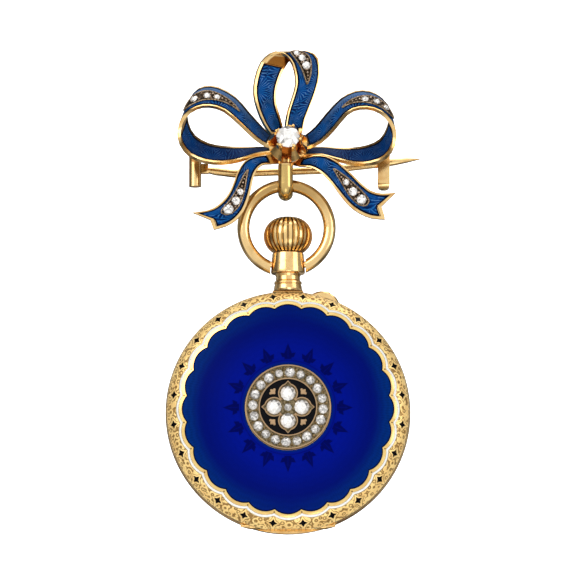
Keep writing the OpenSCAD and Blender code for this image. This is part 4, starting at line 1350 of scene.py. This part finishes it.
@dataclass
class CentreStone:
    """The old-cut diamond of the bow, with its full set of facets."""

    radius: float = 1.47
    height: float = 3.6  # of the girdle over the setting's foot

    def corners(self) -> tuple[list[Vector], list[tuple[int, ...]]]:
        """Works out the cut in the stone's own frame, from sizes in shares of its radius.

        Returns:
            The corners, and the faces over them.
        """
        table, star = circle(8, 0.5, 0.4), circle(8, 0.76, 0.26, 0.5)
        girdle, belt = circle(16, 1, 0.04), circle(16, 1, -0.06)
        low, culet = circle(8, 0.5, -0.44, 0.5), circle(8, 0.08, -0.78)
        points = [p * self.radius for p in table + star + girdle + belt + low + culet]
        t, s, g, b, u, c = 0, 8, 16, 32, 48, 56
        faces: list[tuple[int, ...]] = [tuple(range(8))]
        for i in range(8):
            n, p = (i + 1) % 8, (i - 1) % 8
            even, odd, after = 2 * i, 2 * i + 1, (2 * i + 2) % 16
            faces += [
                (t + i, t + n, s + i),
                (t + i, s + p, g + even),
                (t + i, s + i, g + even),
                (s + i, g + even, g + odd),
                (s + i, g + odd, g + after),
                (u + i, b + even, b + odd),
                (u + i, b + odd, b + after),
                (c + i, u + p, b + even),
                (c + i, u + i, b + even),
                (c + i, c + n, u + i),
            ]
        for i in range(16):
            n = (i + 1) % 16
            faces.append((g + i, g + n, b + n, b + i))
        faces.append(tuple(range(c + 7, c - 1, -1)))
        return points, faces

    def dress(self, finish: Material) -> None:
        """Makes the stone in place of the source's plainer one.

        Args:
            finish: The stone's finish.
        """
        points, faces = self.corners()
        stand = (
            Matrix.Translation(SETTING_FOOT)
            @ Matrix.Rotation(math.radians(90 - SETTING_TILT), 4, "X")
            @ Matrix.Translation((0, 0, self.height))
        )
        make = Maker()
        make.facets([stand @ p for p in points], faces)
        made = make.piece("centre_stone", Body.BROOCH, finish, False)
        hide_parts("centre_diamond")


@dataclass
class RosetteStones:
    """The rosette's four large rose cuts and the grains that hold its border stones."""

    ring: float = 1.72  # from the rosette's middle to each large stone's
    radius: float = 0.94
    height: float = 0.74
    bed: float = 4.58  # height of the stones' seat over the watch's middle plane
    border: float = 4.36  # radius of the ring of border stones
    border_count: int = 20
    first_angle: float = 86.8
    border_grain: float = 0.15
    border_rows: Pair = (-0.46, 0.44)  # the rows of grains inside and outside that ring
    claw_at: float = 1.02  # from a large stone's middle to its claws
    claw_r: float = 0.11
    claw_turns: Pair = (0.62, 2.3)  # their directions either side of outwards, in radians

    def rose(self, make: Maker, angle: float) -> None:
        """Adds one rose cut with 24 facets.

        Args:
            make: The mesh it goes into.
            angle: Its direction from the middle, in radians.
        """
        cx, cy = self.ring * math.cos(angle), self.ring * math.sin(angle)
        cut = circle(12, self.radius, 0.0) + circle(12, self.radius, 0.14)
        cut += circle(6, 0.62 * self.radius, 0.66 * self.height)
        cut.append(Vector((0, 0, self.height)))
        points = [on_case(cx + p.x, cy + p.y, self.bed + p.z) for p in cut]
        faces: list[tuple[int, ...]] = [tuple(range(11, -1, -1))]
        for i in range(12):
            faces.append((i, (i + 1) % 12, 12 + (i + 1) % 12, 12 + i))
        for i in range(6):
            n = (i + 1) % 6
            faces.append((30, 24 + i, 24 + n))
            faces.append((24 + i, 24 + n, 12 + 2 * i + 1))
            faces.append((24 + i, 12 + 2 * i, 12 + 2 * i + 1))
            faces.append((24 + n, 12 + 2 * i + 1, 12 + (2 * i + 2) % 12))
        make.facets(points, faces)

    def dress(self, diamond: Material, metal: Material) -> None:
        """Makes the stones and the grains.

        Args:
            diamond: Finish of the stones.
            metal: Finish of the grains.
        """
        for k in range(4):
            make = Maker()
            self.rose(make, math.pi * (k + 1) / 2)
            made = make.piece(f"petal_stone_{k + 1}", Body.COVER, diamond, False)
            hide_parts(f"petal_diamond_{k + 1}")
        make = Maker()
        for i in range(self.border_count):
            a = math.radians(self.first_angle + 360 * (i + 0.5) / self.border_count)
            for r in (self.border + row for row in self.border_rows):
                at = on_case(r * math.cos(a), r * math.sin(a), self.bed + 0.04)
                make.ball(at, self.border_grain)
        for k in range(4):
            a = math.pi * k / 2
            for turn in (s * t for t in self.claw_turns for s in (1, -1)):
                x = self.ring * math.cos(a) + self.claw_at * math.cos(a + turn)
                y = self.ring * math.sin(a) + self.claw_at * math.sin(a + turn)
                make.ball(on_case(x, y, self.bed + 0.08), self.claw_r)
        make.piece("rosette_grains", Body.COVER, metal)


# Dial


@dataclass
class DialMarks:
    """Numbers and minute track on the dial, seen from the wearer's side."""

    level: float = -2.285  # the dial's face
    number_r: float = 9.9
    number_h: float = 2.1
    track_r: float = 11.9
    track_w: float = 0.6
    thick: float = 0.24
    thin: float = 0.1

    def bar(self, make: Maker, angle: float, a: Pair, b: Pair, width: float) -> None:
        """Adds a flat stroke.

        Args:
            make: The mesh it goes into.
            angle: Direction of the sign from the middle, clockwise as the wearer sees it.
            a: Start, across and outwards.
            b: End, across and outwards.
            width: Width of the stroke.
        """
        run = Vector((b[0] - a[0], b[1] - a[1]))
        side = Vector((-run.y, run.x)).normalized() * (width / 2)
        a, b = Vector(a), Vector(b)
        flat = [a + side, a - side, b - side, b + side]
        corners = []
        for z in (self.level, self.level - 0.012):
            for p in flat:
                x = -(p.x * math.cos(angle) + p.y * math.sin(angle))
                y = -p.x * math.sin(angle) + p.y * math.cos(angle)
                corners.append(on_case(x, y, z))
        faces = [(0, 1, 2, 3), (4, 7, 6, 5), (0, 4, 5, 1), (1, 5, 6, 2), (2, 6, 7, 3), (3, 7, 4, 0)]
        make.facets(corners, faces)

    def numeral(self, make: Maker, hour: int) -> None:
        """Adds one hour in strokes.

        Args:
            make: The mesh it goes into.
            hour: The hour, where 0 is twelve.
        """
        sign = ("XII", "I", "II", "III", "IIII", "V", "VI", "VII", "VIII", "IX", "X", "XI")[hour % 12]
        wide = {"I": 0.42, "V": 1.05, "X": 1.05}
        total = sum(wide[c] for c in sign)
        at = -total / 2
        low, high = self.number_r - self.number_h / 2, self.number_r + self.number_h / 2
        angle = FULL * hour / 12
        for c in sign:
            left, right = at + 0.1, at + wide[c] - 0.1
            mid = (left + right) / 2
            strokes = {
                "I": (((mid, low), (mid, high), 0.22),),
                "V": (((left, high), (mid, low), self.thick), ((mid, low), (right, high), self.thin)),
                "X": (((left, high), (right, low), self.thick), ((left, low), (right, high), self.thin)),
            }
            for start, end, width in strokes[c]:
                self.bar(make, angle, start, end, width)
            at += wide[c]

    def dress(self, ink: Material) -> None:
        """Makes the numbers and the track.

        Args:
            ink: Their finish.
        """
        make = Maker()
        for hour in range(12):
            self.numeral(make, hour)
        make.piece("dial_numbers", Body.CASE, ink, False)
        make = Maker()
        for i in range(60):
            wide = 0.16 if i % 5 == 0 else 0.06
            low, high = self.track_r - 0.28, self.track_r + 0.28
            self.bar(make, FULL * i / 60, (0, low), (0, high), wide)
        for r in (self.track_r - self.track_w / 2, self.track_r + self.track_w / 2):
            steps = 96
            for i in range(steps):
                half = r * math.pi / steps
                self.bar(make, FULL * i / steps, (-half, r), (half, r), 0.05)
        make.piece("minute_track", Body.CASE, ink, False)


# CAD nodes


@dataclass
class Wardrobe:
    """The finishes, and which nodes of the frame wear which."""

    nodes: dict[str, Thing]
    made: dict[str, Material] = field(default_factory=dict)

    def stock(self) -> None:
        """Makes every finish once."""
        finishes = [
            PolishedGold(),
            RingGold(),
            RibbonGold(),
            SettingGold(),
            ChasedGold(),
            FieldEnamel(),
            RibbonEnamel(),
            PlainEnamel("white_enamel", (0.60, 0.59, 0.55), 0.2, 0.2),
            PlainEnamel("black_enamel", (0.002, 0.002, 0.003), 0.12, 0.06),
            PlainEnamel("dial_enamel", (0.66, 0.65, 0.61), 0.16),
            AgedMetal("antique_gold", (0.50, 0.34, 0.16), (0.13, 0.08, 0.03)),
            AgedMetal("wire_gold", (0.44, 0.33, 0.22), (0.16, 0.10, 0.05), 0.3),
            AgedMetal("panel_silver", (0.08, 0.055, 0.035), (0.012, 0.008, 0.005), 0.4),
            AgedMetal("grain_silver", (0.80, 0.62, 0.48), (0.26, 0.17, 0.11), 0.28),
            FlutedGold(),
            RosetteGold(),
            AgedMetal("blued_steel", (0.03, 0.05, 0.20), (0.01, 0.015, 0.08), 0.2, 1.0),
            DiamondFinish(),
            CrystalGlass(),
        ]
        for f in finishes:
            self.made[f.name] = f.build()

    def wear(self, finish: str, slot: str, *names: str) -> None:
        """Gives nodes of the frame their finish.

        Args:
            finish: The finish's name.
            slot: Their slot in the record; not used.
            names: The nodes.
        """
        for name in names:
            data = self.nodes[name].data
            data.materials.clear()
            data.materials.append(self.made[finish])

    def soften(self, name: str, angle: float) -> None:
        """Shades a faceted node as the curved sheet it stands for, with its edges kept.

        Args:
            name: The node.
            angle: Edges sharper than this many degrees stay sharp.
        """
        thing = self.nodes[name]
        given = thing.data.attributes.get("custom_normal")
        if given:
            thing.data.attributes.remove(given)
        for p in thing.data.polygons:
            p.use_smooth = True
        weld = thing.modifiers.new("join", "WELD")
        weld.merge_threshold = 2e-6
        split = thing.modifiers.new("edges", "EDGE_SPLIT")
        split.split_angle = math.radians(angle)

    def dress(self) -> None:
        """Gives every node its finish."""
        stones = [f"bow_diamond_{i}" for i in range(1, 16)]
        stones += [f"petal_diamond_{i}" for i in range(1, 5)]
        stones += ["centre_diamond", "border_diamonds", "rosette_diamond"]
        panels = [f"{r}_panel" for r in RIBBONS]
        plain = ["pin_stem", "stem_rivet", "case_band", "bezel", "inner_cover"]
        plain += ["cover_hinge_pin", "set_pin"]
        self.wear("ribbon_enamel", "bow_enamel", *[f"{r}_enamel" for r in RIBBONS])
        self.wear("panel_silver", "panel_silver", *panels)
        self.wear("ribbon_gold", "gold", "bow_frame")
        self.wear("diamond", "diamond", *stones)
        self.wear("ring_gold", "gold", "watch_ring")
        self.wear("gold", "gold", *plain)
        self.wear("fluted_gold", "gold", "crown")
        self.wear("setting_gold", "setting_gold", "centre_setting")
        self.wear("chased_gold", "gold", "back_cover")
        self.wear("field_enamel", "field_enamel", "field_enamel")
        self.wear("white_enamel", "white_enamel", "white_line_enamel")
        self.wear("black_enamel", "black_enamel", "star_enamels", "rosette_enamel")
        self.wear("rosette_gold", "antique_gold", "rosette_plate")
        self.wear("dial_enamel", "dial_enamel", "dial")
        self.wear("watch_glass", "crystal", "crystal")
        self.wear("blued_steel", "blued_steel", "hour_hand", "minute_hand")
        for name in panels:
            self.soften(name, 40)
        self.soften("bow_frame", 35)
        self.soften("pin_stem", 50)


# Stage


@dataclass
class Studio:
    """Pale sweep, soft lights and the camera."""

    aim: Point = (0.0, -4.0, -15.5)  # what the camera and the lamps look at
    rise: float = -9.5  # the photograph is taken from a little below
    lens: float = 400.0
    sensor: float = 36.0
    view_w: float = 72.0  # width of the picture at the part
    floor_z: float = -220.0
    front_y: float = -6000.0
    wall_y: float = 1260.0
    wall_top: float = 2500.0
    bend_r: float = 160.0
    half_w: float = 4000.0

    def sweep(self) -> None:
        """Builds the floor that curves up into the backdrop."""
        g = Coat("pale_sweep")
        vector, *_ = g.place()
        paper = g.noise(vector, 0.05, 2)
        material = g.finish({
            "Base Color": g.mix(paper, (0.93, 0.93, 0.93), (0.96, 0.96, 0.96)),
            "Roughness": 0.9,
            "Emission Color": (1.0, 1.0, 1.0),
            "Emission Strength": 0.7,
        })
        bend_y, bend_z = self.wall_y - self.bend_r, self.floor_z + self.bend_r
        line = [(self.front_y, self.floor_z), (bend_y, self.floor_z)]
        for a in (math.radians(10 * i) for i in range(1, 10)):
            line.append((bend_y + self.bend_r * math.sin(a), bend_z - self.bend_r * math.cos(a)))
        line.append((self.wall_y, self.wall_top))
        corners = [Vector((x, y, z)) for y, z in line for x in (-self.half_w, self.half_w)]
        faces = [(2 * i, 2 * i + 1, 2 * i + 3, 2 * i + 2) for i in range(len(line) - 1)]
        make = Maker()
        make.facets(corners, faces)
        floor = make.thing("sweep", material, True)
        floor.visible_glossy = False

    def lamp(self, name: str, at: Point, size: float, power: float, tint: Colour) -> None:
        """Adds a soft square light aimed at the part.

        Args:
            name: Its name.
            at: Where it stands, in metres.
            size: Its side, in metres.
            power: Its power.
            tint: Its colour.
        """
        data = bpy.data.lights.new(name, "AREA")
        data.size = size
        data.energy = power
        data.color = tint
        lamp = bpy.data.objects.new(name, data)
        lamp.location = at
        to = Vector(self.aim) * MM - lamp.location
        lamp.rotation_euler = to.to_track_quat("-Z", "Y").to_euler()
        bpy.context.scene.collection.objects.link(lamp)

    def room(self) -> None:
        """Sets the studio that the gold mirrors: pale in front, dim behind and below."""
        world = bpy.data.worlds.new("studio")
        world.use_nodes = True
        g = Graph(world.node_tree)
        toward = g.node("ShaderNodeTexCoord").outputs["Generated"]
        x, y, z = g.split(toward)
        front = (y * -1.0).rise(0.0, 0.8)
        strips = ((x * 14.0).sin() * 0.5 + 0.5) * (1 - (y * -1.0).rise(0.55, 0.8))
        above = z.rise(-0.2, 0.8)
        level = front * 0.85 + strips * 0.3 + above * 0.12 + 0.06
        g.feed(world.node_tree.nodes["Background"].inputs["Strength"], level)
        world.node_tree.nodes["Background"].inputs["Color"].default_value = (1, 1, 1, 1)
        bpy.context.scene.world = world

    def lights(self) -> None:
        """Sets the world and the lamps."""
        self.room()
        self.lamp("key", (-0.40, -0.50, 0.35), 0.50, 1.9, (1.0, 0.99, 0.97))
        self.lamp("fill", (0.50, -0.35, 0.05), 0.35, 0.7, (1.0, 1.0, 1.0))
        self.lamp("top", (0.05, 0.05, 0.55), 0.50, 1.7, (1.0, 1.0, 1.0))
        self.lamp("low", (0.05, -0.45, -0.45), 0.25, 0.25, (1.0, 0.98, 0.95))

    def camera(self) -> None:
        """Sets the camera at the photograph's angle."""
        data = bpy.data.cameras.new("camera")
        data.sensor_width = self.sensor
        data.lens = self.lens
        cam = bpy.data.objects.new("camera", data)
        distance = self.view_w * self.lens / self.sensor
        e = math.radians(self.rise)
        back = Vector((0, -math.cos(e), math.sin(e)))
        cam.location = (Vector(self.aim) + back * distance) * MM
        cam.rotation_mode = "QUATERNION"
        cam.rotation_quaternion = (-back).to_track_quat("-Z", "Y")
        data.clip_start, data.clip_end = 0.01, 10
        bpy.context.scene.collection.objects.link(cam)
        bpy.context.scene.camera = cam

    def build(self) -> None:
        """Builds the whole stage."""
        self.sweep()
        self.lights()
        self.camera()
        bpy.context.scene.view_settings.view_transform = "Standard"


def main() -> None:
    """Loads the frame, dresses it, adds the fine pieces and sets the stage."""
    logging.basicConfig(level=logging.INFO, format="%(message)s")
    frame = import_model()
    wardrobe = Wardrobe(frame["nodes"])
    wardrobe.stock()
    wardrobe.dress()
    made = wardrobe.made
    ribbons = bow_ribbons()
    for enamel in bow_enamels(ribbons):
        enamel.dress(made["ribbon_enamel"])
    for panel in bow_panels(ribbons):
        panel.dress(made["wire_gold"], made["grain_silver"])
    CentreStone().dress(made["diamond"])
    RosetteStones().dress(made["diamond"], made["antique_gold"])
    DialMarks().dress(made["black_enamel"])
    Studio().build()


if __name__ == "__main__":
    main()
